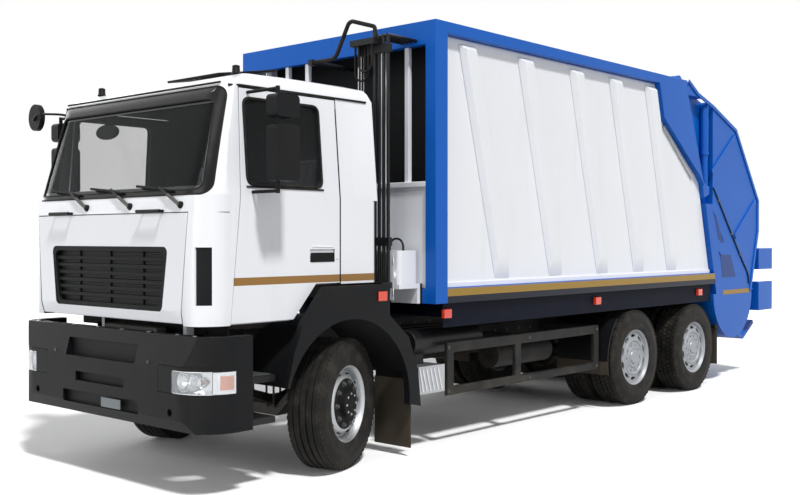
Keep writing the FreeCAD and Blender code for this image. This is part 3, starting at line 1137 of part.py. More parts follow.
def cab_form(name, inset):
    # The outer form of the cab, or the same form moved inwards: side view, front view and plan together.
    i = size(inset)
    x_back = ahead("cab_back_low_x")
    side = [(ahead("cab_foot_front_x") - i, the("cab_foot_front_z") + i),
            (ahead("cab_chin_x") - i, the("cab_chin_z")), (ahead("cab_brow_x") - i, the("cab_brow_z")),
            (ahead("cab_screen_foot_x") - i, the("cab_screen_foot_z")),
            (ahead("cab_screen_head_x") - i, the("cab_screen_head_z")),
            (ahead("cab_eave_x") - i, the("cab_eave_z") - i / 2),
            (ahead("cab_roof_front_x"), the("cab_roof_front_z") - i),
            (ahead("cab_roof_peak_x"), the("cab_roof_peak_z") - i),
            (ahead("cab_roof_rear_x"), the("cab_roof_rear_z") - i),
            (ahead("cab_back_top_x") + i, the("cab_back_top_z") - i),
            (x_back + i, the("cab_back_low_z") + i),
            (ahead("cab_arch_rear_x") + i, the("cab_arch_rear_z") + i),
            (ahead("cab_arch_front_x") + i, the("cab_arch_front_z") + i)]
    half = the("cab_half_width") - i
    side = side_slab(name + "_side", side, -half, half)
    low = the("cab_foot_front_z") + i
    right = [(half, low), (half, the("cab_waist_z")), (the("cab_roof_half_width") - i, the("lean_top")),
             (the("cab_crown_half_width") - i, the("cab_crown_z") - i),
             (the("cab_top_half_width") - i, the("cab_top_z") - i)]
    outline = right + [(-y, z) for y, z in reversed(right)]
    front = slab(name + "_front", "YZ_Plane", outline, x_back + i, ahead("cab_chin_x") - i)
    radius, tail, nose = the("cab_corner") - i, the("cab_rear_corner"), ahead("cab_chin_x") - i
    plan = [(x_back + i, -half, tail), (x_back + i, half, tail), (nose, half, radius), (nose, -half, radius)]
    waist = the("cab_screen_foot_z")
    lower = slab(name + "_plan", "XY_Plane", plan, low, waist)
    foot_x = ahead("cab_screen_foot_x") - i
    top = [(x_back + i, -half), (x_back + i, half), (foot_x, half, radius), (foot_x, -half, radius)]
    upper = slab(name + "_screen", "XY_Plane", top, waist, the("cab_top_z"))
    rake = upper.Group[-1]
    rake.UseCustomVector = True
    rake.Direction = Vector(the("cab_screen_head_x").value - the("cab_screen_foot_x").value, 0,
                            the("cab_screen_head_z").value - the("cab_screen_foot_z").value)
    bind(rake, "Direction.x", the("cab_screen_head_x") - the("cab_screen_foot_x"))
    bind(rake, "Direction.z", the("cab_screen_head_z") - the("cab_screen_foot_z"))
    tail_block = box(name + "_tail", (x_back + i, ahead("cab_roof_front_x")), (-half, half),
                     (waist, the("cab_top_z")))
    plans = fuse(name + "_plans", lower, upper, tail_block)
    return common(name, side, front, plans)


forms = {}


def form(inset_name):
    # One cab form for each inset, made once.
    if inset_name not in forms:
        inset = 0 if inset_name is None else the(inset_name) if isinstance(inset_name, str) else (
            the(inset_name[0]) + the(inset_name[1]))
        word = "outer" if inset_name is None else "_".join([inset_name] if isinstance(inset_name, str)
                                                           else inset_name)
        forms[inset_name] = cab_form(f"cab_{word}_form", inset)
    return forms[inset_name]


def screen_outline(name, grow, low, high):
    corner = the("screen_corner")
    points = [(the("screen_low_half") + grow, the("screen_low") - grow, corner),
              (the("screen_high_half") + grow, the("screen_high") + grow, corner),
              (-the("screen_high_half") - grow, the("screen_high") + grow, corner),
              (-the("screen_low_half") - grow, the("screen_low") - grow, corner)]
    return slab(name, "YZ_Plane", points, low, high)


def door_outline(grow, hem_drop):
    x_front, z_front = front_point("door_front_low")
    x_waist, z_waist = front_point("door_front_waist")
    x_top, z_top = front_point("door_front_top")
    rear, hem = ahead("door_rear"), the("door_hem")
    x_arch, z_arch = front_point("door_arch_rear")
    return [(x_front + grow, hem - hem_drop), (x_waist + grow, z_waist), (x_top + grow, z_top + grow),
            (rear - grow, z_top + grow), (rear - grow, z_arch - hem_drop), (x_arch, z_arch - hem_drop),
            (ahead("door_arch_front"), hem - hem_drop)]


def window_outline():
    corner = the("window_corner")
    x_low, z_low = front_point("window_front_low")
    x_top, z_top = front_point("window_front_top")
    return [(x_low, z_low, corner), (x_top, z_top, corner), (ahead("window_rear"), z_top, corner),
            (ahead("window_rear"), z_low, corner)]


def flap_outline(grow, hem_drop):
    low, high = the("flap_low") - hem_drop, the("flap_high") + grow
    low_half, high_half = the("flap_half_low") + grow, the("flap_half_high") + grow
    return [(low_half, low), (high_half, high), (-high_half, high), (-low_half, low)]


LUG_SHARE = 0.7


def vane_block(name):
    return box(name, (ahead("dash_front") - overrun, ahead("cab_chin_x")),
               (the("vane_inner"), the("vane_outer")),
               (the("vane_low"), the("vane_high")))


def cab():
    outer, inner = form(None), form("cab_wall")
    reach = ahead("cab_screen_head_x") - the("screen_reach") / 2
    nose = ahead("cab_chin_x") + overrun
    shell = cut("cab_hollow", outer, inner)
    firewall = box("cab_firewall", (ahead("dash_front"), ahead("dash_front") + the("cab_wall") / 2),
                   (-the("cab_half_width"), the("cab_half_width")),
                   (the("cab_foot_front_z"), the("screen_low")))
    shell = fuse("cab_walled", shell, common("cab_firewall_trimmed", firewall, outer))
    screen = screen_outline("screen_opening", size(0), reach, nose)
    flap = slab("flap_opening", "YZ_Plane", flap_outline(the("panel_gap"), overrun),
                ahead("dash_front") + the("cab_wall"), nose)
    wide = the("cab_half_width") + overrun
    low = the("cab_crown_half_width") - overrun * 3
    doorway = side_slab("door_opening_block", door_outline(the("panel_gap"), overrun), low, wide)
    doorway = cut("door_opening", doorway, form(("door_thick", "panel_gap")),
                  sill_block("floor_keep", the("door_thick") + the("panel_gap")))
    lug_y, eye = the("tilt_lug_y"), the("tilt_lug_radius")
    x, z = ahead("tilt_x"), the("tilt_z")
    elbow_x, elbow_z = front_point("tilt_elbow")
    seat = the("cab_foot_front_z") + the("cab_wall")
    lug = side_slab("tilt_lug",
                    [(x - eye * LUG_SHARE, z - eye * LUG_SHARE), (x + eye * LUG_SHARE, z + eye * LUG_SHARE),
                                 (elbow_x + eye / 2, elbow_z + eye), (elbow_x + eye / 2, seat),
                                 (elbow_x - eye, seat), (elbow_x - eye, elbow_z)],
                    lug_y, lug_y + the("tilt_lug_thick"))
    eye = rod("tilt_eye", "Y", lug_y, lug_y + the("tilt_lug_thick"), (ahead("tilt_x"), the("tilt_z")),
              the("tilt_lug_radius"))
    bore = rod("tilt_bore", "Y", lug_y - overrun, lug_y + the("tilt_lug_thick") + overrun,
               (ahead("tilt_x"), the("tilt_z")), the("ram_pin_radius") + gap)
    lug = cut("tilt_lug_bored", fuse("tilt_lug_joined", lug, eye), bore)
    pocket = cut("vane_pocket", vane_block("vane_pocket_block"), form("vane_depth"))
    shell = cut("cab_open", shell, screen, flap, doorway, mirror("doorway_right", doorway), pocket,
                mirror("vane_pocket_right", pocket))
    node("cab_shell", fuse("cab_shell_joined", shell, lug, mirror("tilt_lug_right", lug)))
    pane = cut("screen_shell", form("glass_inset"), form(("glass_inset", "glass_thick")))
    node("windscreen", common("screen_glass", pane, screen_outline("screen_edge", size(0), reach, nose)))


def sill_block(name, inset):
    # The room inside the upright lower part of a door.
    return box(name, (ahead("cab_back_low_x"), ahead("cab_chin_x")), (size(0), the("cab_half_width") - inset),
               (the("cab_foot_front_z") - overrun, the("cab_waist_z")))


def doors():
    low, wide = the("cab_crown_half_width") - overrun * 3, the("cab_half_width") + overrun
    skin = cut("door_skin", form(None), form("door_thick"))
    panel = common("door_panel", skin, side_slab("door_block", door_outline(size(0), size(0)), low, wide))
    panel = cut("door_panel_trimmed", panel, sill_block("door_inner_block", the("door_thick")))
    window = side_slab("door_window", window_outline(), low, wide)
    recess = box("handle_recess", (ahead("handle_rear"), ahead("handle_front")),
                 (the("cab_half_width") - the("handle_depth"), wide),
                 (the("handle_bottom"), the("handle_top")))
    panel = cut("door_left_open", panel, window, recess)
    grip = box("handle_bar", (ahead("handle_rear"), ahead("handle_front")),
               (the("cab_half_width") - the("handle_depth"), the("cab_half_width") - the("handle_depth") / 2),
               (the("handle_bottom") + the("handle_depth") * 2, the("handle_top")))
    panel = fuse("door_left_joined", panel, grip)
    pane = cut("door_glass_skin", form("glass_inset"), form(("glass_inset", "glass_thick")))
    glass = common("door_glass_pane", pane, side_slab("door_glass_edge", window_outline(), low, wide))
    mirrors = door_mirrors()
    for hand in ("left", "right"):
        for name, piece in (("door", panel), ("door_glass", glass), ("mirrors", mirrors)):
            label = f"{name}_{hand}"
            node(label, piece if hand == "left" else mirror(f"{label}_copy", piece))


BAR_SHARE = 1.3


def door_mirrors():
    half, corner = the("mirror_thick") / 2, the("mirror_corner")
    y = the("mirror_y")
    rear, front = ahead("mirror_rear"), ahead("mirror_front")
    cases = []
    for word, low, high in (("main", the("mirror_low"), the("mirror_high")),
                            ("wide", the("wide_low"), the("wide_high"))):
        cases.append(side_slab(f"mirror_{word}", [(rear, low, corner), (front, low, corner),
                                                  (front, high, corner), (rear, high, corner)], y - half,
                                                  y + half))
    radius, x = the("mirror_arm_radius"), ahead("mirror_arm_x")
    low, high = the("mirror_arm_low"), the("mirror_arm_high")
    stout = radius * BAR_SHARE
    bars = [rod("mirror_bar", "Z", low - stout, high + stout, (x, y), stout)]
    for index, level in enumerate((low, high)):
        bars.append(rod(f"mirror_arm_{index}", "Y", the("cab_crown_half_width"), y, (x, level), radius))
    return cut("mirrors_seated", fuse("mirrors_joined", *cases, *bars), form(None))


def front_flap():
    skin = cut("flap_skin", form(None), form("flap_wall"))
    nose = ahead("cab_chin_x") + overrun
    reach = ahead("dash_front") + the("cab_wall")
    panel = common("flap_panel", skin,
                   slab("flap_block", "YZ_Plane", flap_outline(size(0), size(0)), reach, nose))
    corner, frame = the("grille_corner"), the("grille_frame")

    def opening(name, inset, low, high):
        points = [(the("grille_half_low") - inset, the("grille_low") + inset, corner),
                  (the("grille_half_high") - inset, the("grille_high") - inset, corner),
                  (-the("grille_half_high") + inset, the("grille_high") - inset, corner),
                  (-the("grille_half_low") + inset, the("grille_low") + inset, corner)]
        return slab(name, "YZ_Plane", points, low, high)

    node("front_flap", cut("flap_open", panel, opening("grille_opening", size(0), reach, nose)))
    face = ahead("grille_face")
    deep = face - the("grille_depth")
    ring = cut("grille_ring", opening("grille_outer", size(0), deep, face),
               opening("grille_inner", frame, deep - overrun, face + overrun))
    room = (the("grille_high") - the("grille_low") - frame * 2) / (SLATS + 1)
    wide = the("grille_half_high") - frame
    slats = [box(f"slat_{index}", (deep, deep + the("slat_depth")), (-wide, wide),
                 (the("grille_low") + frame + room * (index + 1) - the("slat_height") / 2,
                  the("grille_low") + frame + room * (index + 1) + the("slat_height") / 2))
             for index in range(SLATS)]
    slats = common("grille_slats", fuse("grille_slats_all", *slats),
                   opening("grille_trim", frame / 2, deep, face))
    posts = [box(f"grille_post_{index}", (deep, deep + the("slat_depth") / 2),
                 (spot - the("grille_post_half"), spot + the("grille_post_half")),
                 (the("grille_low") + frame / 2, the("grille_high") - frame / 2))
             for index, spot in enumerate((-the("grille_mid_half"), size(0), the("grille_mid_half")))]
    node("grille", fuse("grille_joined", ring, slats, *posts))


SLATS = 6


def screen_x(z):
    # Place of the raked screen's outer face at a height.
    foot_x, foot_z = front_point("cab_screen_foot")
    head_x, head_z = front_point("cab_screen_head")
    return foot_x + (head_x - foot_x) * ((z - foot_z) / (head_z - foot_z))


def wiper(index):
    # An arm that lies along the raked screen and leans to the right side of the cab.
    y, z, thick, reach = (the("wiper_first") + the("wiper_pitch") * index, the("wiper_z"), the("wiper_thick"),
                          the("wiper_off"))
    x = ahead("cab_brow_x") + reach
    rake = math.degrees(math.atan2((screen_x(the("cab_screen_foot_z")) - screen_x(the("screen_high"))).value,
                                   the("screen_high").value - the("cab_screen_foot_z").value))
    arm = doc.addObject("Part::Box", f"wiper_arm_{index}")
    arm.Placement = Placement(Vector(), Rotation(Vector(0, 1, 0), -rake) * Rotation(Vector(1, 0, 0),
                                                                                  the("wiper_lean").value))
    bind(arm, "Length", thick)
    bind(arm, "Width", thick)
    bind(arm, "Height", the("wiper_length"))
    locate(arm, x, y, z + the("wiper_boss") / 2)
    boss = rod(f"wiper_boss_{index}", "X", ahead("cab_brow_x") - overrun / 2, x + thick, (y, z),
               the("wiper_boss"))
    return fuse(f"wiper_{index}", arm, cut(f"wiper_boss_seated_{index}", boss, form(None)))


def grip_bar():
    y, half, z, reach = the("grip_bar_y"), the("grip_bar_half"), the("grip_bar_z"), the("grip_bar_reach")
    radius = the("grip_bar_radius")
    x = ahead("cab_brow_x") + reach
    bars = [rod("grip_bar", "Y", y - half, y + half, (x, z), radius)]
    for index, spot in enumerate((y - half + radius * 2, y + half - radius * 2)):
        bars.append(rod(f"grip_post_{index}", "X", ahead("cab_screen_foot_x") - overrun, x, (spot, z),
                        radius * CHEEK_SHARE))
    return cut("grip_bar_seated", fuse("grip_bar_joined", *bars), form(None))


def cab_trim():
    vane = cut("vane", common("vane_face", vane_block("vane_body"), form("vane_recess")), form("vane_depth"))
    rear, front = ahead("hatch_rear"), ahead("hatch_front")
    half, top = the("hatch_half_width"), the("cab_top_z")
    hatch = side_slab("hatch_lid", [(rear, top), (front, top), (front, top + the("hatch_seat")),
                                    (rear, top + the("hatch_rise"))], -half, half)
    lamp = rod("roof_lamp", "Z", the("cab_crown_z") - overrun, the("cab_crown_z") + the("roof_lamp_height"),
               (ahead("roof_lamp_x"), the("roof_lamp_y")), the("roof_lamp_radius"))
    lamp = cut("roof_lamp_seated", lamp, form(None))
    grip = grip_bar()
    sides = [vane, lamp, grip]
    node("cab_trim", group("trim", *sides, *[mirror(piece.Name + "_right", piece) for piece in sides],
                           cut("hatch_seated", hatch, form(None)),
                           *[wiper(index) for index in range(WIPERS)]))


WIPERS = 3


def cab_inside():
    wide = the("dash_half_width")
    front, rear = ahead("dash_front"), ahead("dash_rear")
    low, high = the("dash_low"), the("dash_high")
    dash = side_slab("dash_form",
                     [(front, low), (front, high), (rear + overrun, high), (rear, high - overrun * 2),
                                   (rear + overrun * 2, low)], -wide, wide)
    x, z = front_point("wheel_centre")
    y, tilt = the("driver_y"), the("wheel_tilt")
    turn = Placement(Vector(), Rotation(Vector(0, 1, 0), tilt.value))
    ring = doc.addObject("Part::Torus", "steering_ring")
    ring.Placement = turn
    bind(ring, "Radius1", the("wheel_ring_radius"))
    bind(ring, "Radius2", the("wheel_rim_radius"))
    locate(ring, x, y, z)
    spoke = doc.addObject("Part::Box", "steering_spoke")
    spoke.Placement = turn
    half, reach = the("column_radius"), the("wheel_ring_radius")
    bind(spoke, "Length", half)
    bind(spoke, "Width", reach * 2)
    bind(spoke, "Height", the("wheel_rim_radius"))
    locate(spoke, x - half / 2, y - reach, z - the("wheel_rim_radius"))
    length = the("column_length")
    column = doc.addObject("Part::Cylinder", "steering_column")
    column.Placement = turn
    bind(column, "Radius", half)
    bind(column, "Height", length)
    locate(column, x - sine(tilt) * length, y, z - cosine(tilt) * length)
    node("dashboard", fuse("dashboard_joined", dash, ring, spoke, column))


def seats():
    half, rear, front = the("seat_half_width"), ahead("seat_rear"), ahead("seat_front")
    y, lean = the("driver_y"), the("back_lean")
    floor = the("cab_back_low_z") + the("cab_wall")
    base = box("seat_base", (rear + lean, front - lean), (y - half / 2, y + half / 2),
               (floor, the("seat_base_top")))
    cushion = box("seat_cushion", (rear, front), (y - half, y + half),
                  (the("seat_base_top"), the("seat_top")))
    back = side_slab("seat_back", [(rear, the("seat_top")), (rear + the("back_thick"), the("seat_top")),
                                   (rear + the("back_thick") - lean, the("back_top")),
                                   (rear - lean, the("back_top"))],
                     y - half, y + half)
    node("seats", both("seats_pair", fuse("seat_joined", base, cushion, back)))


gate_inner = place("gate_inner", the("ram_y") - the("gate_skin") - the("notch_skin") + the("panel_gap"))


def gate_side(name, low, high):
    clear = the("gate_gap")
    outline = [(behind("rear_top_x") - clear, rail_low), tail_point("gate_top"), tail_point("gate_step"),
               tail_point("gate_roof"), tail_point("gate_crown"), tail_point("gate_waist"),
               tail_point("gate_sill"), tail_point("gate_drop"), (behind("gate_drop_x"), the("gate_hem")),
               (rear_line(the("gate_hem")) - clear, the("gate_hem")),
               (behind("rear_mid_x") - clear, the("rear_mid_z"))]
    return side_slab(name, outline, low, high)


def slanted(upper, lower):
    # A bar or slot along the line between two places of the tailgate's side.
    wide = the("brace_width")
    (upper_x, upper_z), (lower_x, lower_z) = tail_point(upper), tail_point(lower)
    return [(upper_x, upper_z), (lower_x, lower_z), (lower_x + wide / 2, lower_z + wide),
            (upper_x + wide / 2, upper_z + wide)]


def tailgate():
    skin_low = gate_inner
    skin_high = place("gate_middle", skin_low + the("notch_skin"))
    outer = the("gate_outer")
    inner_wall = gate_side("gate_inner_wall", skin_low, skin_high)
    panel = gate_side("gate_panel", skin_high, outer)
    notch = box("gate_notch", (behind("notch_rear"), behind("hinge_x") + overrun),
                (skin_high, outer + overrun),
                (the("notch_low"), the("notch_high")))
    panel = cut("gate_panel_notched", panel, notch)
    lug = rod("gate_lug", "Y", skin_low, skin_high, hinge, the("hinge_lug_radius"))
    web = box("gate_lug_web", (behind("gate_top_x"), hinge[0]), (skin_low, skin_high),
              (rail_low, hinge[1] + the("hinge_lug_radius") / 2))
    x, z = tail_point("trough")
    radius = the("trough_radius")
    cheek = rod("trough_cheek", "Y", skin_low, outer, (x, z), radius)
    cheek = common("trough_cheek_low", cheek, box("cheek_keep", (x - radius, x + radius), (skin_low, outer),
                                                  (z - radius, z)))
    pin = rod("ram_top_pin", "Y", skin_high - overrun, outer, tail_point("ram_top"), the("ram_pin_radius"))
    lamps_hold = [box(f"lampbox_arm_{index}", (behind("lampbox_front"), behind("gate_drop_x")),
                      (skin_high - the("lampbox_bracket"), skin_high + the("lampbox_bracket")),
                      (level, level + the("lampbox_bracket")))
                  for index, level in enumerate(((the("lampbox_upper_low") + the("lampbox_upper_high")) / 2,
                                                 the("gate_drop_z")))]
    lifter_x, lifter_z = tail_point("lifter_pivot")
    ear = the("lifter_arm_y") - the("lifter_arm_thick") / 2 - the("lifter_lug_gap")
    thick = the("lifter_arm_thick")
    middle = radius - the("trough_thick") / 3
    (low_run, low_fall), (high_run, high_fall) = EAR_SHARES
    ear_plate = side_slab("lifter_ear", [(x - middle * low_run, z - middle * low_fall),
                                         (x - middle * high_run, z - middle * high_fall),
                                         (lifter_x, lifter_z + the("lifter_radius")),
                                         (lifter_x, lifter_z - the("lifter_radius"))], ear - thick, ear)
    ear_pin = rod("lifter_pin", "Y", ear - thick, the("lifter_arm_y") + thick / 2, (lifter_x, lifter_z),
                  the("ram_pin_radius"))
    side = [inner_wall, panel, lug, web, cheek, pin, ear_plate, ear_pin] + lamps_hold
    for upper, lower in (("brace_upper", "brace_upper_foot"), ("brace_lower", "brace_lower_foot")):
        side.append(side_slab(upper + "_bar", slanted(upper, lower), outer, outer + the("brace_proud")))
    recesses = [side_slab(upper + "_slot", slanted(upper, upper + "_foot"), outer - the("recess_depth"),
                          outer + overrun) for upper in ("recess_upper", "recess_lower")]
    left = cut("gate_left_recessed", fuse("gate_left", *side), *recesses)
    bore = rod("gate_bore", "Y", skin_low - overrun, skin_high + overrun, hinge,
               the("hinge_pin_radius") + gap)
    left = cut("gate_left_bored", left, bore)
    trough = cut("trough_sheet", rod("trough_outer", "Y", -skin_low, skin_low, (x, z), radius),
                 rod("trough_inner", "Y", -skin_low - overrun, skin_low + overrun, (x, z),
                     radius - the("trough_thick")),
                 box("trough_upper", (x - radius - overrun, x + radius + overrun),
                     (-skin_low - overrun, skin_low + overrun),
                     (z, z + radius + overrun)))
    thick = the("trough_thick")
    lip_x, lip_z = tail_point("sill_lip")
    edge_x, edge_z = tail_point("sill_edge")
    lip = side_slab("gate_lip", [(x - radius + thick, z), (x - radius, z - thick), (edge_x, edge_z - thick),
                                 (edge_x, edge_z), (x - radius + thick, z + thick)], -skin_low, skin_low)
    front_x = behind("rear_low_x") - the("gate_gap")
    threshold = side_slab("gate_threshold", [(x + radius - thick / 2, z), (front_x, z + thick * 2),
                                             (front_x, the("floor_top")), (front_x - thick, the("floor_top")),
                                             (front_x - thick, z + thick),
                                             (x + radius - thick / 2, z - thick)],
                          -skin_low, skin_low)
    cover = the("cover_thick")
    names = ("gate_step", "gate_roof", "gate_crown", "gate_waist")
    upper = [tail_point(name) for name in names]
    under = [(px + cover, pz - cover) for px, pz in reversed(upper)]
    roof = side_slab("gate_cover", upper + under, -skin_low, skin_low)
    node("tailgate_shell", fuse("gate_joined", left, mirror("gate_right", left), trough, lip, threshold,
                                roof))


# Cosine and sine of the two places where an ear meets the trough.
EAR_SHARES = ((0.7, 0.714), (0.95, 0.312))


def lamp_boxes():
    x = (axle_last - the("rear_overhang"), behind("lampbox_front"))
    y = (the("lampbox_inner"), the("lampbox_outer"))
    boxes = [box(f"lampbox_{index}", x, y, (the(low), the(high))) for index, (low, high) in
             enumerate((("lampbox_upper_low", "lampbox_upper_high"),
                        ("lampbox_lower_low", "lampbox_lower_high")))]
    node("tail_lamp_boxes", both("lampbox_pair", group("lampbox_side", *boxes)))


def packer():
    x, z = tail_point("blade_hinge")
    angle = the("carriage_angle")
    along, up = cosine(angle), sine(angle)
    length, thick = the("carriage_length"), the("carriage_thick")
    eye = the("blade_hinge_radius")
    inner = gate_inner - the("sweep_gap")
    start = eye + the("blade_gap")
    first = (x + along * start, z + up * start)
    last = (x + along * length, z + up * length)
    plate = side_slab("carriage_plate", [first, last, (last[0] - up * thick, last[1] + along * thick),
                                         (first[0] - up * thick, first[1] + along * thick)], -inner, inner)
    shoes = side_slab("carriage_shoes", [(x + along * length / 2, z + up * length / 2), last,
                                         (last[0] - up * thick, last[1] + along * thick),
                                         (x + along * length / 2 - up * thick,
                                          z + up * length / 2 + along * thick)],
                      the("slide_gap") - gate_inner, gate_inner - the("slide_gap"))
    step = inner / 2
    pin = rod("blade_pin", "Y", -inner, inner, (x, z), the("ram_pin_radius"))
    knuckles = []
    for index, (low, high) in enumerate(((-inner, -step), (-step / 2, step / 2), (step, inner))):
        knuckles.append(rod(f"carriage_eye_{index}", "Y", low, high, (x, z), eye))
        web = [(x, z), first, (first[0] - up * thick, first[1] + along * thick),
               (x - up * eye, z + along * eye)]
        knuckles.append(side_slab(f"carriage_web_{index}", web, low, high))
    node("packer_carriage", fuse("carriage_joined", plate, shoes, pin, *knuckles))
    lean = the("blade_lean")
    ahead_share, down_share = sine(lean), cosine(lean)
    clear, reach, thick = eye + the("blade_gap"), the("blade_length"), the("blade_thick")

    def at(distance, offset):
        return (x + ahead_share * distance + down_share * offset,
                z - down_share * distance + ahead_share * offset)

    blade = side_slab("blade_plate", [at(clear, -thick / 2), at(reach, -thick / 2), at(reach, thick / 2),
                                      at(clear, thick / 2)], -inner, inner)
    parts = [blade]
    gap_y = the("lamp_gap")
    for index, (low, high) in enumerate(((-step + gap_y, -step / 2 - gap_y),
                                         (step / 2 + gap_y, step - gap_y))):
        parts.append(rod(f"blade_eye_{index}", "Y", low, high, (x, z), eye))
        parts.append(side_slab(f"blade_web_{index}", [at(size(0), -thick / 2), at(clear, -thick / 2),
                                                      at(clear, thick / 2), at(size(0), thick / 2)], low,
                                                      high))
    bore = rod("blade_bore", "Y", -inner - overrun, inner + overrun, (x, z), the("ram_pin_radius") + gap)
    node("packer_blade", cut("blade_bored", fuse("blade_joined", *parts), bore))


def bin_lifter():
    thick, wide = the("comb_thick"), the("comb_half_width")
    front, low, tip = tail_point("comb_front"), tail_point("comb_low"), tail_point("comb_tip")
    comb = side_slab("comb", [front, low, tip, (tip[0] + thick / 2, tip[1] + thick), (low[0], low[1] + thick),
                              (front[0], front[1] + thick)], -wide, wide)
    x, z = tail_point("lifter_pivot")
    half, y, arm_half = the("lifter_arm_width") / 2, the("lifter_arm_y"), the("lifter_arm_thick") / 2
    arm = side_slab("lifter_arm", [(x - half, z), (x + half, z), (low[0] + half, low[1] + thick / 2),
                                   (low[0] - half, low[1] + thick / 2)], y - arm_half, y + arm_half)
    eye = rod("lifter_eye", "Y", y - arm_half, y + arm_half, (x, z), half)
    bore = rod("lifter_bore", "Y", y - arm_half - overrun, y + arm_half + overrun, (x, z),
               the("ram_pin_radius") + gap)
    arm = cut("lifter_arm_bored", fuse("lifter_arm_joined", arm, eye), bore)
    node("bin_lifter", fuse("lifter_joined", comb, arm, mirror("lifter_arm_right", arm)))


def lift_rams():
    x, top = tail_point("ram_top")
    foot_z = the("ram_foot_z")
    y, half = the("ram_y"), the("ram_eye_width") / 2
    eye, radius, piston = the("ram_eye_radius"), the("ram_radius"), the("rod_radius")
    end = foot_z + eye + the("ram_lug_thick")
    collar = the("ram_collar_z")
    tube = rod("ram_barrel", "Z", collar, top - eye / 2, (x, y), radius)
    sleeve = rod("ram_sleeve", "Z", end, collar, (x, y), the("ram_lower_radius"))
    ring = rod("ram_collar", "Z", collar - the("collar_half"), collar + the("collar_half"), (x, y),
               the("collar_radius"))
    head = rod("ram_head", "Y", y - half, y + half, (x, top), eye)
    bore = rod("ram_bore", "Z", end - overrun, top - eye - overrun / 2, (x, y), piston + gap)
    pin = rod("ram_head_bore", "Y", y - half - overrun, y + half + overrun, (x, top),
              the("ram_pin_radius") + gap)
    barrel = cut("ram_barrel_bored", fuse("ram_barrel_joined", tube, sleeve, ring, head), bore, pin)
    stem = rod("ram_stem", "Z", foot_z, top - eye - overrun, (x, y), piston)
    foot = rod("ram_foot_eye", "Y", y - half, y + half, (x, foot_z), eye - the("ram_lug_thick") / 2)
    hole = rod("ram_foot_hole", "Y", y - half - overrun, y + half + overrun, (x, foot_z),
               the("ram_pin_radius"))
    stem = cut("ram_stem_bored", fuse("ram_stem_joined", stem, foot), hole)
    for hand in ("left", "right"):
        for name, piece in (("lift_barrel", barrel), ("lift_rod", stem)):
            label = f"{name}_{hand}"
            node(label, piece if hand == "left" else mirror(f"{label}_copy", piece))


def check_all():
    doc.recompute()
    failed = [thing.Name for thing in doc.Objects if "Invalid" in thing.State or "Error" in thing.State]
    if failed:
        raise RuntimeError("failed: " + ", ".join(failed[:20]))
    unsound = [thing.Label for thing in nodes if thing.Shape.isNull() or not thing.Shape.isValid()
               or not thing.Shape.Solids]
    if unsound:
        raise RuntimeError("no sound solid in " + ", ".join(unsound))


chassis_frame()
front_axle()
leaf_springs()
rear_axles()
rear_wheels()
front_wheels()
power_unit()
chassis_tanks()
side_guards()
front_bumper()
front_arches()
cab_steps()
rear_guards()
body_subframe()
body_frame()
ram_feet()
body_sides()
body_front_wall()
ejector()
pipe_rack()
hoses()
control_box()
marker_lamps()
cab()
doors()
front_flap()
cab_trim()
cab_inside()
seats()
tailgate()
lamp_boxes()
packer()
bin_lifter()
lift_rams()
check_all()
os.makedirs("parts", exist_ok=True)
for thing in nodes:
    thing.Shape.exportStep(f"parts/{thing.Label}.step")
print(len(nodes), "nodes,", len(doc.Objects), "objects")
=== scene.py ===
import bmesh
import bpy
import json
import math
from mathutils import Matrix, Vector
from mathutils.bvhtree import BVHTree

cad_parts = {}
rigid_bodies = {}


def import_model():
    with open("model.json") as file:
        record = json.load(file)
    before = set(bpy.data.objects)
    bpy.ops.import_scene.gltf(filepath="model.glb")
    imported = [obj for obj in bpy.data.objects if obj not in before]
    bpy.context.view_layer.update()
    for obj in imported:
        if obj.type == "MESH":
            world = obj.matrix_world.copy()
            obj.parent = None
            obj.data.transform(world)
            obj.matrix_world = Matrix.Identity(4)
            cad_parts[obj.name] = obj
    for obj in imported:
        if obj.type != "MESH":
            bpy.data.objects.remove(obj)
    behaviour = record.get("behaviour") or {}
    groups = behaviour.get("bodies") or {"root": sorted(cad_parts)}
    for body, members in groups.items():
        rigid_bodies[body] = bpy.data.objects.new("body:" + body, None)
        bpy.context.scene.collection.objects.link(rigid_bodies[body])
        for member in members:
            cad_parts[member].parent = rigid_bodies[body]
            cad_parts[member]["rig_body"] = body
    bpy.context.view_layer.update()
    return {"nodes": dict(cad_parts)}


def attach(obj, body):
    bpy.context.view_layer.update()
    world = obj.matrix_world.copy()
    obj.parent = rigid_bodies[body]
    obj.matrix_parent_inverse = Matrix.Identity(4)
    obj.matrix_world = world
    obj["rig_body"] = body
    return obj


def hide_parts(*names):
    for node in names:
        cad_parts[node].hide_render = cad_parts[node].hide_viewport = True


# Rear-loading garbage truck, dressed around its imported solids. Metres, X ahead, Y left, Z up.

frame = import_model()
nodes = frame["nodes"]
scene = bpy.context.scene
axle = {"front": 3.3375, "second": -1.0925, "last": -2.4925, "height": 0.512}
print("frame loaded:", len(nodes), "nodes")


# Shader maths

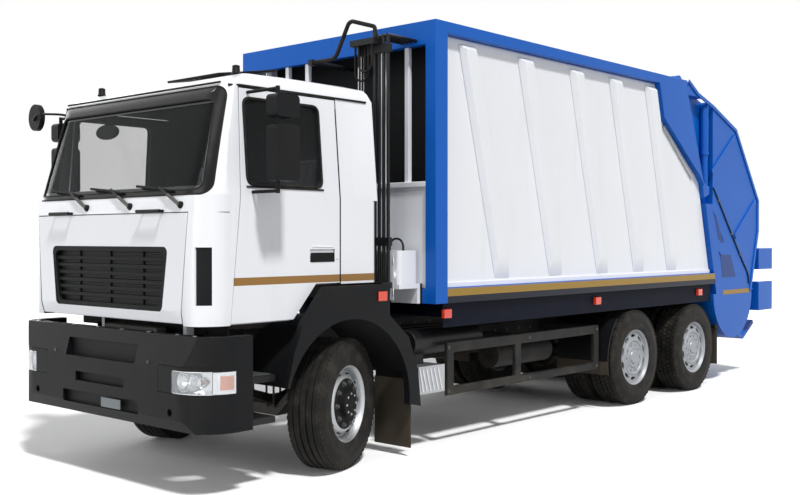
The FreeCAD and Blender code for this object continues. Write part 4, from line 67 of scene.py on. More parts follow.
class Shade:
    # an output socket whose sums and products add Math nodes
    def __init__(self, finish, socket):
        self.finish = finish
        self.socket = socket

    def sum(self, operation, first, second):
        return self.finish.node("ShaderNodeMath", {"operation": operation}, {0: first, 1: second})

    def __add__(self, other):
        return self.sum("ADD", self, other)

    def __radd__(self, other):
        return self.sum("ADD", other, self)

    def __sub__(self, other):
        return self.sum("SUBTRACT", self, other)

    def __rsub__(self, other):
        return self.sum("SUBTRACT", other, self)

    def __mul__(self, other):
        return self.sum("MULTIPLY", self, other)

    def __rmul__(self, other):
        return self.sum("MULTIPLY", other, self)

    def __gt__(self, other):
        return self.sum("GREATER_THAN", self, other)

    def __lt__(self, other):
        return self.sum("LESS_THAN", self, other)

    def size(self):
        return self.sum("ABSOLUTE", self, 0.0)

    def atMost(self, most):
        return self.sum("MINIMUM", self, most)

    def ramp(self, low, high):
        # 0 below low and 1 above high, smooth between
        inputs = {"Value": self, "From Min": low, "From Max": high}
        return self.finish.node("ShaderNodeMapRange", {"interpolation_type": "SMOOTHSTEP"}, inputs)


class Finish:
    # a material and the nodes that give its look
    def __init__(self, name):
        self.material = bpy.data.materials.new(name)
        self.material.use_nodes = True
        self.tree = self.material.node_tree
        self.tree.nodes.clear()
        self.where = self.node("ShaderNodeTexCoord", {}, {}, "Object")
        split = self.node("ShaderNodeSeparateXYZ", {}, {"Vector": self.where}).socket.node
        self.x, self.y, self.z = (Shade(self, split.outputs[axis]) for axis in "XYZ")

    def node(self, kind, settings, inputs, output=0):
        made = self.tree.nodes.new(kind)
        for name, value in settings.items():
            setattr(made, name, value)
        for name, value in inputs.items():
            socket = made.inputs[name]
            if isinstance(value, Shade):
                self.tree.links.new(value.socket, socket)
            elif socket.type == "RGBA":
                socket.default_value = (*value, 1)
            else:
                socket.default_value = value
        return Shade(self, made.outputs[output]) if made.outputs else None

    def noise(self, scale, detail, stretch=(1, 1, 1)):
        spot = self.node("ShaderNodeMapping", {}, {"Vector": self.where, "Scale": stretch})
        return self.node("ShaderNodeTexNoise", {}, {"Vector": spot, "Scale": scale, "Detail": detail})

    def cells(self, scale):
        return self.node("ShaderNodeTexVoronoi", {}, {"Vector": self.where, "Scale": scale})

    def waves(self, scale, direction):
        inputs = {"Vector": self.where, "Scale": scale}
        return self.node("ShaderNodeTexWave", {"bands_direction": direction}, inputs)

    def mix(self, share, first, second):
        return self.node("ShaderNodeMix", {"data_type": "RGBA"}, {0: share, 6: first, 7: second}, 2)

    def edge(self):
        # the share of light a clear sheet throws back, alike on both of its faces
        facing = self.node("ShaderNodeLayerWeight", {}, {"Blend": 0.5}, "Facing")
        return 0.04 + facing.sum("POWER", facing, 4.0) * 0.9

    def bump(self, height, distance, strength):
        inputs = {"Height": height, "Distance": distance, "Strength": strength}
        return self.node("ShaderNodeBump", {}, inputs)

    def close(self, inputs):
        surface = self.node("ShaderNodeBsdfPrincipled", {}, inputs)
        self.node("ShaderNodeOutputMaterial", {"is_active_output": True}, {"Surface": surface})
        return self.material


def linear(red, green, blue):
    # a colour given as it shows, from 0 to 255
    def channel(value):
        share = value / 255
        return share / 12.92 if share <= 0.04045 else ((share + 0.055) / 1.055) ** 2.4
    return channel(red), channel(green), channel(blue)


# Shapes

edgeAngle = 35
softAngle = 60


def smoothed(mesh, angle=edgeAngle):
    for polygon in mesh.polygons:
        polygon.use_smooth = True
    mesh.set_sharp_from_angle(angle=math.radians(angle))


def placed(name, mesh, body):
    # a finished mesh as a piece that rides a body
    piece = bpy.data.objects.new(name, mesh)
    scene.collection.objects.link(piece)
    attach(piece, body)
    return piece


def evened(mesh, width, segments):
    # the mesh with its edges rounded and its flat faces kept flat in the light
    holder = bpy.data.objects.new("edges", mesh)
    scene.collection.objects.link(holder)
    rounding = holder.modifiers.new("rounding", "BEVEL")
    rounding.limit_method = "ANGLE"
    rounding.angle_limit = math.radians(edgeAngle)
    rounding.width = width
    rounding.segments = segments
    rounding.use_clamp_overlap = True
    rounding.miter_outer = "MITER_ARC"
    evenness = holder.modifiers.new("evenness", "WEIGHTED_NORMAL")
    evenness.keep_sharp = True
    smoothed(mesh, softAngle)
    graph = bpy.context.evaluated_depsgraph_get()
    result = bpy.data.meshes.new_from_object(holder.evaluated_get(graph))
    bpy.data.objects.remove(holder)
    return result


def solidCopy(node):
    # a CAD node's surface as one joined mesh with its flat faces whole
    shape = bmesh.new()
    shape.from_mesh(nodes[node].data)
    bmesh.ops.remove_doubles(shape, verts=shape.verts, dist=1e-5)
    bmesh.ops.dissolve_limit(shape, angle_limit=math.radians(0.5), verts=shape.verts, edges=shape.edges)
    return shape


def islands(shape):
    # the separate bodies of a mesh, each as its list of corners
    seen, groups = set(), []
    for first in shape.verts:
        if first in seen:
            continue
        seen.add(first)
        group, waiting = [], [first]
        while waiting:
            spot = waiting.pop()
            group.append(spot)
            for other in (edge.other_vert(spot) for edge in spot.link_edges):
                if other not in seen:
                    seen.add(other)
                    waiting.append(other)
        groups.append(group)
    return groups


def dressed(node, finishes, width=0.004, pick=None, segments=2, drop=None):
    # a CAD node with rounded edges and its finishes, which pick chooses face by face
    # drop is asked of each separate body, by its lowest and highest corner, and leaves it out
    shape = solidCopy(node)
    for group in islands(shape) if drop else ():
        low = Vector([min(spot.co[axis] for spot in group) for axis in range(3)])
        high = Vector([max(spot.co[axis] for spot in group) for axis in range(3)])
        if drop(low, high):
            bmesh.ops.delete(shape, geom=group, context="VERTS")
    mesh = bpy.data.meshes.new(node + "Dressed")
    if pick:
        for face in shape.faces:
            face.material_index = pick(face)
    shape.to_mesh(mesh)
    shape.free()
    for finish in finishes:
        mesh.materials.append(finish)
    mesh = evened(mesh, width, segments)
    piece = placed(node + "Dressed", mesh, nodes[node]["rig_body"])
    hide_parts(node)
    return piece


class Form:
    # gathers shapes of several finishes into one mesh
    def __init__(self):
        self.mesh = bmesh.new()
        self.finishes = []

    def take(self, faces, finish):
        if finish not in self.finishes:
            self.finishes.append(finish)
        for face in faces:
            face.material_index = self.finishes.index(finish)

    def add(self, points, sides, finish, turn=None):
        spots = [Vector(point) for point in points]
        if turn:
            spots = [turn @ spot for spot in spots]
        corners = [self.mesh.verts.new(spot) for spot in spots]
        self.take([self.mesh.faces.new([corners[index] for index in side]) for side in sides], finish)

    def box(self, low, high, finish):
        points = [(x, y, z) for x in (low[0], high[0]) for y in (low[1], high[1]) for z in (low[2], high[2])]
        sides = [(0, 1, 3, 2), (4, 6, 7, 5), (0, 4, 5, 1), (2, 3, 7, 6), (0, 2, 6, 4), (1, 5, 7, 3)]
        self.add(points, sides, finish)

    def prism(self, outline, low, high, axis, finish):
        # an outline in the other two axes, in order, carried from low to high along the axis
        count = len(outline)

        def spot(first, second, along):
            places = {"X": (along, first, second), "Y": (first, along, second), "Z": (first, second, along)}
            return places[axis]
        points = [spot(*point, along) for along in (low, high) for point in outline]
        sides = [tuple(range(count)), tuple(reversed(range(count, 2 * count)))]
        sides += [(i, i + count, (i + 1) % count + count, (i + 1) % count) for i in range(count)]
        self.add(points, sides, finish)

    def turned(self, profile, centre, axis, finish, steps=48, closed=False, turn=None):
        # a profile of (place along the axis, radius) turned about the axis
        first, second = {"X": (1, 2), "Y": (2, 0), "Z": (0, 1)}[axis]
        main = "XYZ".index(axis)
        points, sides, rows = [], [], []
        for along, radius in profile:
            row = []
            for step in range(steps if radius > 1e-6 else 1):
                angle = 2 * math.pi * step / steps
                point = list(centre)
                point[main] += along
                point[first] += radius * math.cos(angle)
                point[second] += radius * math.sin(angle)
                row.append(len(points))
                points.append(point)
            rows.append(row)
        pairs = list(zip(rows, rows[1:] + ([rows[0]] if closed else [])))
        for low, high in pairs if closed else pairs[:len(rows) - 1]:
            for step in range(steps):
                after = (step + 1) % steps
                if len(low) == 1 and len(high) == 1:
                    break
                if len(low) == 1:
                    sides.append((low[0], high[after], high[step]))
                elif len(high) == 1:
                    sides.append((low[step], low[after], high[0]))
                else:
                    sides.append((low[step], low[after], high[after], high[step]))
        if not closed:
            for row, flip in ((rows[0], True), (rows[-1], False)):
                if len(row) > 1:
                    sides.append(tuple(reversed(row)) if flip else tuple(row))
        self.add(points, sides, finish, turn)

    def tube(self, points, radius, finish, sides=8):
        # a round bar along a line of points
        line = [Vector(point) for point in points]
        steps = [(after - before).normalized() for before, after in zip(line, line[1:])]
        aims = [steps[0]] + [(a + b).normalized() for a, b in zip(steps, steps[1:])] + [steps[-1]]
        across = aims[0].orthogonal().normalized()
        rings = []
        for index, (spot, aim) in enumerate(zip(line, aims)):
            across = (across - aim * across.dot(aim)).normalized()
            other = aim.cross(across)
            widen = 1 / max(0.5, aim.dot(steps[min(index, len(steps) - 1)]))
            rings.append([spot + (across * math.cos(a) + other * math.sin(a)) * radius * widen
                          for a in (2 * math.pi * step / sides for step in range(sides))])
        flat = [spot for ring in rings for spot in ring]
        walls = [(row * sides + i, row * sides + (i + 1) % sides, (row + 1) * sides + (i + 1) % sides,
                  (row + 1) * sides + i) for row in range(len(rings) - 1) for i in range(sides)]
        walls.append(tuple(reversed(range(sides))))
        walls.append(tuple(range(len(flat) - sides, len(flat))))
        self.add(flat, walls, finish)

    def done(self, name, body, slot, width=0.0, segments=2):
        # the gathered shapes as one piece, its edges rounded where a width is given
        bmesh.ops.recalc_face_normals(self.mesh, faces=self.mesh.faces)
        mesh = bpy.data.meshes.new(name)
        self.mesh.to_mesh(mesh)
        self.mesh.free()
        for finish in self.finishes:
            mesh.materials.append(finish)
        if width:
            mesh = evened(mesh, width, segments)
        else:
            smoothed(mesh)
        return placed(name, mesh, body)


def bend(before, corner, after, reach, steps):
    # the points of a rounded corner that starts and ends a reach away from it
    start = corner + (before - corner).normalized() * reach
    end = corner + (after - corner).normalized() * reach
    result = []
    for step in range(steps + 1):
        share = step / steps
        result.append(start * (1 - share) ** 2 + corner * 2 * share * (1 - share) + end * share ** 2)
    return result


def roundedLine(points, radius):
    # a line of points with its corners rounded
    line = [Vector(point) for point in points]
    result = [line[0]]
    for before, corner, after in zip(line, line[1:], line[2:]):
        reach = min(radius, (before - corner).length * 0.45, (after - corner).length * 0.45)
        result += bend(before, corner, after, reach, 6)
    return result + [line[-1]]


def loop(points, radius, steps=5):
    # a closed line with rounded corners, whose last point is its first again
    line = [Vector(point) for point in points]
    result = []
    for index, corner in enumerate(line):
        result += bend(line[index - 1], corner, line[(index + 1) % len(line)], radius, steps)
    return result + [result[0]]


def across(side, first, second):
    # two distances out from the truck's middle, in order, on its left (1) or right (-1)
    return sorted((side * first, side * second))


def sided(side, points):
    # points given for the truck's left, on its left (1) or right (-1)
    return [(x, side * y, z) for x, y, z in points]


def facingOut(side):
    # turns what stands up so that it stands out from the truck's left (1) or right (-1)
    return Matrix.Rotation(math.radians(-90 * side), 4, "X")


def bothHalves(half):
    # a profile's half, given from its outer end to the middle, followed by the other half
    return [(-along, radius) for along, radius in half] + list(reversed(half))


# Repeats, each grown by a small node tree

def repeatTree(name, points):
    # a tree that puts an item on points and turns it outwards; points adds the nodes that make them
    tree = bpy.data.node_groups.new(name, "GeometryNodeTree")
    face = tree.interface
    face.new_socket("Geometry", in_out="OUTPUT", socket_type="NodeSocketGeometry")
    sockets = {"Count": "Int", "Reach": "Float", "Step": "Vector", "Item": "Object", "Finish": "Material"}
    for socket, kind in sockets.items():
        face.new_socket(socket, in_out="INPUT", socket_type="NodeSocket" + kind)

    def add(kind, settings=(), inputs=()):
        made = tree.nodes.new(kind)
        for key, value in dict(settings).items():
            setattr(made, key, value)
        for key, value in dict(inputs).items():
            if isinstance(value, bpy.types.NodeSocket):
                tree.links.new(value, made.inputs[key])
            else:
                made.inputs[key].default_value = value
        return made
    given = add("NodeGroupInput").outputs
    spots, turn = points(add, given)
    item = add("GeometryNodeObjectInfo", {}, {"Object": given["Item"]})
    copies = add("GeometryNodeInstanceOnPoints", {}, {"Points": spots, "Instance": item.outputs["Geometry"]})
    if turn:
        tree.links.new(turn, copies.inputs["Rotation"])
    real = add("GeometryNodeRealizeInstances", {}, {"Geometry": copies.outputs[0]})
    made = add("GeometryNodeSetMaterial", {}, {"Geometry": real.outputs[0], "Material": given["Finish"]})
    add("NodeGroupOutput", {}, {"Geometry": made.outputs[0]})
    return tree


def ringPoints(add, given):
    # points in a circle about Z, each with X pointing outwards
    circle = add("GeometryNodeMeshCircle", {}, {"Vertices": given["Count"], "Radius": given["Reach"]})
    spots = add("GeometryNodeMeshToPoints", {}, {"Mesh": circle.outputs[0]})
    spot = add("GeometryNodeInputPosition")
    axes = {"axis": "X", "pivot_axis": "Z"}
    aim = add("FunctionNodeAlignRotationToVector", axes, {"Vector": spot.outputs[0]})
    return spots.outputs[0], aim.outputs[0]


def rowPoints(add, given):
    # points along a line, a step apart
    line = add("GeometryNodeMeshLine", {"mode": "OFFSET"}, {"Count": given["Count"], "Offset": given["Step"]})
    spots = add("GeometryNodeMeshToPoints", {}, {"Mesh": line.outputs[0]})
    return spots.outputs[0], None


ringTree = repeatTree("ringOfItems", ringPoints)
rowTree = repeatTree("rowOfItems", rowPoints)


def repeated(tree, item, finish, places, count, reach=0.0, step=(0, 0, 0)):
    # one mesh of every repeat, put down at each of the places
    holder = bpy.data.objects.new("repeat", bpy.data.meshes.new("repeat"))
    source = bpy.data.objects.new("item", item)
    for thing in (holder, source):
        scene.collection.objects.link(thing)
    growth = holder.modifiers.new("growth", "NODES")
    growth.node_group = tree
    values = {"Count": count, "Reach": reach, "Step": step, "Item": source, "Finish": finish}
    for socket in tree.interface.items_tree:
        if socket.in_out == "INPUT":
            growth[socket.identifier] = values[socket.name]
    graph = bpy.context.evaluated_depsgraph_get()
    graph.update()
    grown = bpy.data.meshes.new_from_object(holder.evaluated_get(graph))
    bpy.data.objects.remove(holder)
    bpy.data.objects.remove(source)
    shape = bmesh.new()
    for place in places:
        copy = grown.copy()
        copy.transform(place)
        shape.from_mesh(copy)
    mesh = bpy.data.meshes.new("repeats")
    shape.to_mesh(mesh)
    shape.free()
    mesh.materials.append(finish)
    smoothed(mesh)
    return mesh


def itemMesh(form):
    # the shapes gathered in a form as a bare mesh
    bmesh.ops.recalc_face_normals(form.mesh, faces=form.mesh.faces)
    mesh = bpy.data.meshes.new("item")
    form.mesh.to_mesh(mesh)
    form.mesh.free()
    return mesh


def boltMesh(radius, height):
    # a bolt's head on its washer
    form = Form()
    washer = [(0, radius * 1.5), (height * 0.2, radius * 1.5)]
    head = [(height * 0.2, radius), (height, radius * 0.9)]
    form.turned(washer + head, (0, 0, 0), "Z", None, 6)
    return itemMesh(form)


def boltRow(name, places, count, pitch, radius, tone="iron"):
    # bolts in rows along the truck on the chassis
    bolts = repeated(rowTree, boltMesh(radius, radius * 0.7), finish[tone], places, count, step=(pitch, 0, 0))
    placed(name, bolts, "chassis")


# Finishes

paintLook = {"tone": 0.05, "streak": 0.07, "splash": 0.22, "splashTop": 1.35, "rough": 0.30, "coat": 0.20,
             "shine": 0.45, "soil": linear(120, 112, 98), "patches": 1.3, "streaks": 5,
             "run": (1.6, 1.6, 0.12), "splashes": 3.5, "splashFoot": 0.3, "peel": 0.0006, "peelGrain": 160}
deepLook = {**paintLook, "streak": 0.02, "splash": 0.06, "coat": 0.05, "shine": 0.22, "rough": 0.38,
            "tone": 0.10}
stripes = {"cab": (1.470, 1.526, linear(138, 96, 22)), "sill": (1.309, 1.375, linear(150, 120, 50)),
           "navy": (1.20, 1.309, linear(3, 8, 26))}
cabStripeZone = (0.98, axle["front"] + 1.075)
frameStripeZone = (1.17, 2.1775)
screenBorder = {"foot": 2.135, "head": 2.79, "half": 1.258, "lean": 0.0916, "fade": (0.030, 0.034)}


def paint(name, colour, bands=(), look=paintLook, zone=None):
    # zone keeps the bands beyond a half width and behind a place along the truck
    f = Finish(name)
    base = f.mix(f.noise(look["patches"], 4) * look["tone"], colour, (0, 0, 0))
    for low, high, tint in bands:
        inside = (f.z > low) * (f.z < high)
        if zone:
            inside = inside * (f.y.size() > zone[0]) * (f.x < zone[1])
        base = f.mix(inside, base, tint)
    streaks = f.noise(look["streaks"], 5, look["run"]).ramp(0.52, 0.85) * look["streak"]
    low = 1 - f.z.ramp(look["splashFoot"], look["splashTop"])
    splash = f.noise(look["splashes"], 6).ramp(0.35, 0.8) * low * look["splash"]
    dirt = streaks + splash
    rough = look["rough"] + dirt * 0.6 + f.noise(40, 2) * 0.05
    normal = f.bump(f.noise(look["peelGrain"], 1), look["peel"], 0.5)
    return f.close({"Base Color": f.mix(dirt, base, look["soil"]), "Roughness": rough, "Normal": normal,
                    "Coat Weight": look["coat"], "Coat Roughness": 0.08, "Specular IOR Level": look["shine"]})


plasticLook = {"dust": 0.12, "dustPatches": 2.2, "dustTint": linear(62, 60, 56), "shine": 0.14}
rubberLook = {"dust": 0.35, "dustPatches": 9, "dustTint": linear(80, 75, 66), "shine": 0.2, "rough": 0.72,
              "pores": 120, "poreDepth": 0.001}
metalLook = {"grain": 60, "stains": 4, "stain": 0.35, "stainShare": 0.45}


def mouldedPlastic(name, colour, rough=0.5, grain=900.0, depth=0.0006):
    # dark plastic with a leather-like grain, paler where dust settles
    f = Finish(name)
    dust = f.noise(plasticLook["dustPatches"], 5).ramp(0.45, 0.85) * plasticLook["dust"]
    base = f.mix(dust, colour, plasticLook["dustTint"])
    normal = f.bump(f.cells(grain), depth, 0.35)
    return f.close({"Base Color": base, "Roughness": rough + dust * 0.5, "Normal": normal,
                    "Specular IOR Level": plasticLook["shine"]})


def rubber(name, colour):
    # dull rubber, greyed where dust sits in its pores
    f = Finish(name)
    dust = f.noise(rubberLook["dustPatches"], 6).ramp(0.4, 0.75) * rubberLook["dust"]
    base = f.mix(dust, colour, rubberLook["dustTint"])
    normal = f.bump(f.noise(rubberLook["pores"], 4), rubberLook["poreDepth"], 0.4)
    return f.close({"Base Color": base, "Roughness": rubberLook["rough"] + dust * 0.3, "Normal": normal,
                    "Specular IOR Level": rubberLook["shine"]})


def metal(name, colour, rough, brush=(1, 1, 1), metallic=1.0, pits=0.0006):
    # metal with fine grain, drawn out by brush, and darker stains
    f = Finish(name)
    grain = f.noise(metalLook["grain"], 4, brush)
    stain = f.noise(metalLook["stains"], 5).ramp(0.5, 0.8)
    dark = tuple(channel * metalLook["stainShare"] for channel in colour)
    base = f.mix(stain * metalLook["stain"], colour, dark)
    normal = f.bump(grain, pits, 0.5)
    return f.close({"Base Color": base, "Roughness": rough + grain * 0.12 + stain * 0.15,
                    "Metallic": metallic, "Normal": normal})


def glass(name, tint, clear, border=False):
    # see-through by its alpha, with a gloss that grows at low angles
    f = Finish(name)
    shine = f.edge()
    smear = f.noise(3, 4).ramp(0.5, 0.9) * 0.05
    solid = clear + shine * 0.9 + smear
    rough = 0.02 + smear
    if border:
        # the dark band printed round a screen's edge
        half = screenBorder["half"] - f.z * screenBorder["lean"]
        ends = (f.z - screenBorder["foot"]).atMost(screenBorder["head"] - f.z)
        band = 1 - ends.atMost(half - f.y.size()).ramp(*screenBorder["fade"])
        solid = solid + band
        rough = rough + band * 0.12
    return f.close({"Base Color": tint, "Roughness": rough, "Alpha": solid.atMost(1.0)})


def lens(name, colour, clear, ribs):
    # clear or tinted lamp plastic with moulded ribs
    f = Finish(name)
    solid = (clear + f.edge()).atMost(1.0)
    normal = f.bump(f.waves(60.0, "Z"), 0.002, ribs)
    dust = f.noise(30, 4) * 0.08
    return f.close({"Base Color": colour, "Roughness": 0.06 + dust, "Alpha": solid, "Normal": normal,
                    "Coat Weight": 0.5})


def cloth(name, colour, thread=210.0):
    # seat cloth with its warp and weft
    f = Finish(name)
    weave = f.waves(thread, "Y") * f.waves(thread, "Z")
    fade = f.noise(5, 4)
    base = f.mix(weave * 0.35 + fade * 0.2, colour, tuple(channel * 2.2 for channel in colour))
    return f.close({"Base Color": base, "Roughness": 0.85 + fade * 0.1, "Normal": f.bump(weave, 0.002, 0.5),
                    "Sheen Weight": 0.3})


whiteBody = linear(232, 234, 238)
bluePaint = linear(0, 90, 184)
finish = {
    "white": paint("whitePaint", whiteBody),
    "cabWhite": paint("cabPaint", whiteBody, (stripes["cab"],), zone=cabStripeZone),
    "blue": paint("bluePaint", bluePaint, look=deepLook),
    "frameBlue": paint("framePaint", bluePaint, (stripes["navy"], stripes["sill"]), deepLook,
                       frameStripeZone),
    # a darker blue, painted shade for the pressed recesses in the tailgate's sides
    "pocketShadeBlue": paint("pocketShadeBlue", linear(0, 52, 122), look=deepLook),
    "navy": paint("navyPaint", linear(4, 8, 24), look={**deepLook, "coat": 0.0, "shine": 0.1, "rough": 0.6}),
    "chassis": paint("chassisPaint", linear(15, 16, 18), look={**deepLook, "rough": 0.55, "coat": 0.0,
                                                               "splash": 0.30, "peel": 0.001}),
    "steelBlack": paint("steelPaint", linear(19, 20, 22), look={**deepLook, "rough": 0.42}),
    "gloss": paint("screenEdge", linear(9, 10, 11), look={**deepLook, "rough": 0.18, "splash": 0.0}),
    "grey": paint("greyPaint", linear(108, 116, 120), look={**paintLook, "rough": 0.45, "coat": 0.0}),
    "plastic": mouldedPlastic("bumperPlastic", linear(12, 13, 15)),
    "lining": mouldedPlastic("cabLining", linear(58, 60, 62), 0.7, 400.0, 0.0002),
    "dark": mouldedPlastic("darkPlastic", linear(12, 13, 14), 0.6),
    "rubber": rubber("tyreRubber", linear(23, 22, 21)),
    "seal": rubber("sealRubber", linear(18, 18, 19)),
    "wheel": metal("wheelPaint", linear(152, 155, 159), 0.40, metallic=0.25),
    "bright": metal("brightSteel", linear(200, 202, 205), 0.24, (1, 1, 0.1)),
    "alloy": metal("alloySteel", linear(172, 174, 176), 0.38),
    "iron": metal("castIron", linear(88, 86, 84), 0.55, metallic=0.7, pits=0.002),
    "chrome": metal("lampChrome", linear(226, 228, 230), 0.05, pits=0.0),
    "glass": glass("cabGlass", linear(24, 30, 31), 0.10),
    "screen": glass("screenGlass", linear(22, 28, 29), 0.10, border=True),
    "mirror": metal("mirrorSilver", linear(214, 218, 222), 0.02, pits=0.0),
    "clear": lens("clearLens", linear(226, 230, 234), 0.18, 0.4),
    "amber": lens("amberLens", linear(236, 128, 30), 0.85, 0.5),
    "red": lens("redLens", linear(206, 40, 28), 0.92, 0.5),
    "marker": lens("markerLens", linear(226, 62, 30), 0.92, 0.5),
    "cloth": cloth("seatCloth", linear(58, 62, 70)),
}
print("finishes made:", len(finish))


# Camera, floor and light

view = {"place": (9.0375, 6.828, 1.802), "heading": 41.748, "pitch": 0.501, "focalPixels": 1040.43,
        "pictureWidth": 800, "sensor": 36.0}
light = {"sky": 0.24, "backdrop": 1.0,
         "suns": [("key", (0.20, 0.50, 0.84), 3.0, 6), ("side", (0.10, 0.98, 0.15), 0.45, 50),
                  ("front", (0.98, 0.05, 0.18), 1.5, 50), ("back", (-0.90, -0.30, 0.30), 1.2, 50),
                  ("far", (-0.10, -0.98, 0.20), 1.1, 50)]}


def setCamera():
    data = bpy.data.cameras.new("camera")
    data.sensor_width = view["sensor"]
    data.lens = view["focalPixels"] / view["pictureWidth"] * view["sensor"]
    data.clip_end = 400
    camera = bpy.data.objects.new("camera", data)
    scene.collection.objects.link(camera)
    heading, pitch = math.radians(view["heading"]), math.radians(view["pitch"])
    level = math.cos(pitch)
    ahead = Vector((-math.cos(heading) * level, -math.sin(heading) * level, -math.sin(pitch)))
    camera.location = view["place"]
    camera.rotation_euler = ahead.to_track_quat("-Z", "Y").to_euler()
    scene.camera = camera


def sunLight(name, towards, strength, spread):
    # a soft distant light; towards points from the truck to it
    data = bpy.data.lights.new(name, "SUN")
    data.energy = strength
    data.angle = math.radians(spread)
    lamp = bpy.data.objects.new(name, data)
    lamp.rotation_euler = (-Vector(towards)).to_track_quat("-Z", "Y").to_euler()
    scene.collection.objects.link(lamp)


def seenShare(tree):
    # 1 where the camera, a reflection or glass looks straight at it
    path = tree.nodes.new("ShaderNodeLightPath")
    total = path.outputs["Is Camera Ray"]
    for name in ("Is Glossy Ray", "Is Transmission Ray"):
        add = tree.nodes.new("ShaderNodeMath")
        add.operation = "MAXIMUM"
        tree.links.new(total, add.inputs[0])
        tree.links.new(path.outputs[name], add.inputs[1])
        total = add.outputs[0]
    return total


def setWorld():
    world = bpy.data.worlds.new("studio")
    scene.world = world
    world.use_nodes = True
    tree = world.node_tree
    back = tree.nodes["Background"]
    back.inputs["Color"].default_value = (1, 1, 1, 1)
    power = tree.nodes.new("ShaderNodeMapRange")
    power.inputs["To Min"].default_value = light["sky"]
    power.inputs["To Max"].default_value = light["backdrop"]
    tree.links.new(seenShare(tree), power.inputs["Value"])
    tree.links.new(power.outputs[0], back.inputs["Strength"])


def setFloor():
    # a floor that looks white and casts back a plain grey
    form = Form()
    form.box((-150, -150, -0.02), (150, 150, 0.0), None)
    mesh = itemMesh(form)
    f = Finish("paleFloor")
    plain = f.node("ShaderNodeBsdfDiffuse", {}, {"Color": linear(168, 168, 168)})
    pale = f.node("ShaderNodeBsdfDiffuse", {}, {"Color": (1, 1, 1)})
    seen = Shade(f, seenShare(f.tree))
    shown = f.node("ShaderNodeMixShader", {}, {0: seen, 1: plain, 2: pale})
    f.node("ShaderNodeOutputMaterial", {}, {"Surface": shown})
    mesh.materials.append(f.material)
    floor = bpy.data.objects.new("floor", mesh)
    scene.collection.objects.link(floor)


scene.view_settings.view_transform = "Standard"
setCamera()
for sun in light["suns"]:
    sunLight(*sun)
setWorld()
setFloor()
print("camera, floor and lights set")


# Cab

cabMiddle = Vector((axle["front"] + 0.45, 0, 2.1))
cabSide = {"half": 1.15, "waist": 2.11, "lean": 0.065, "rise": 0.78}
screenOpening = {"x": 4.36, "z": (2.08, 2.86), "half": 1.12, "middle": 2.46}
plainWipers = {"x": 4.40, "low": 2.10, "tips": (2.20, 2.80)}


def insideCab(face):
    # 1 on the walls' inner faces, 0 outside
    away = face.calc_center_median() - cabMiddle
    return 1 if face.normal.dot(away) < 0 else 0


def shellFinish(face):
    # 2 on the windscreen opening's reveal, 1 on the walls' inner faces, 0 outside
    middle = face.calc_center_median()
    low, high = screenOpening["z"]
    near = middle.x > screenOpening["x"] and low < middle.z < high and abs(middle.y) < screenOpening["half"]
    outwards = face.normal.dot(Vector((0, middle.y, middle.z - screenOpening["middle"])))
    return 2 if near and outwards < -0.05 else insideCab(face)


def wiperIsland(low, high):
    # true for the solids' plain wipers, which the shaped ones below stand in for
    tipLow, tipHigh = plainWipers["tips"]
    return low.x > plainWipers["x"] and low.z < plainWipers["low"] and tipLow < high.z < tipHigh


dressed("cab_shell", [finish["cabWhite"], finish["lining"], finish["gloss"]], 0.010, shellFinish, 3)
for hand in ("left", "right"):
    dressed(f"door_{hand}", [finish["cabWhite"], finish["lining"]], 0.006, insideCab)
    dressed(f"mirrors_{hand}", [finish["plastic"]], 0.014, segments=3)
for node, tone in (("door_glass_left", "glass"), ("door_glass_right", "glass"), ("windscreen", "screen")):
    nodes[node].data.materials.clear()
    nodes[node].data.materials.append(finish[tone])
dressed("front_flap", [finish["white"], finish["lining"]], 0.008, insideCab)
dressed("grille", [finish["dark"]], 0.004)
dressed("cab_trim", [finish["plastic"]], 0.004, drop=wiperIsland)
dressed("dashboard", [finish["lining"]], 0.012, segments=3)
print("cab dressed")


# Door fittings

window = {"x": (axle["front"] + 0.215, axle["front"] + 0.945), "z": (2.185, 2.80), "corner": 0.06,
          "seal": 0.011, "lipPast": 0.01, "lipDrop": 0.018, "lip": 0.007}
mirror = {"x": axle["front"] + 0.7425, "y": (1.368, 1.462), "heads": ((2.215, 2.575), (2.655, 2.785)),
          "corner": 0.03, "glass": (-0.002, 0.004)}
handle = {"x": (axle["front"] + 0.085, axle["front"] + 0.35), "z": (1.62, 1.725), "skin": 1.1485,
          "pocket": 0.006, "grip": 0.006, "lock": [(0, 0.011), (0.006, 0.011), (0.008, 0.008)]}


def sideSkin(z):
    # how far the cab's side stands out at a height
    return cabSide["half"] - cabSide["lean"] * max(0.0, z - cabSide["waist"]) / cabSide["rise"]


def windowSeal(hand, side):
    form = Form()
    (x0, x1), (z0, z1) = window["x"], window["z"]
    corners = [(x0, z0), (x1, z0), (x1, z1), (x0, z1)]
    line = loop([(x, side * (sideSkin(z) + 0.001), z) for x, z in corners], window["corner"])
    form.tube(line, window["seal"], finish["seal"])
    z = z0 - window["lipDrop"]
    lip = [(x, side * (sideSkin(z) + 0.003), z) for x in (x0 - window["lipPast"], x1 + window["lipPast"])]
    form.tube(lip, window["lip"], finish["seal"])
    form.done(f"window_seal_{hand}", f"{hand}_door", "black_plastic")


def mirrorGlass(hand, side):
    form = Form()
    near, far = mirror["y"]
    back, front = mirror["glass"]
    for low, high in mirror["heads"]:
        corners = [(near, low), (far, low), (far, high), (near, high)]
        line = loop([(0, side * y, z) for y, z in corners], mirror["corner"])[:-1]
        form.prism([(spot.y, spot.z) for spot in line], mirror["x"] + back, mirror["x"] + front, "X",
                   finish["mirror"])
    form.done(f"mirror_glass_{hand}", f"{hand}_door", "lamp_plastic")


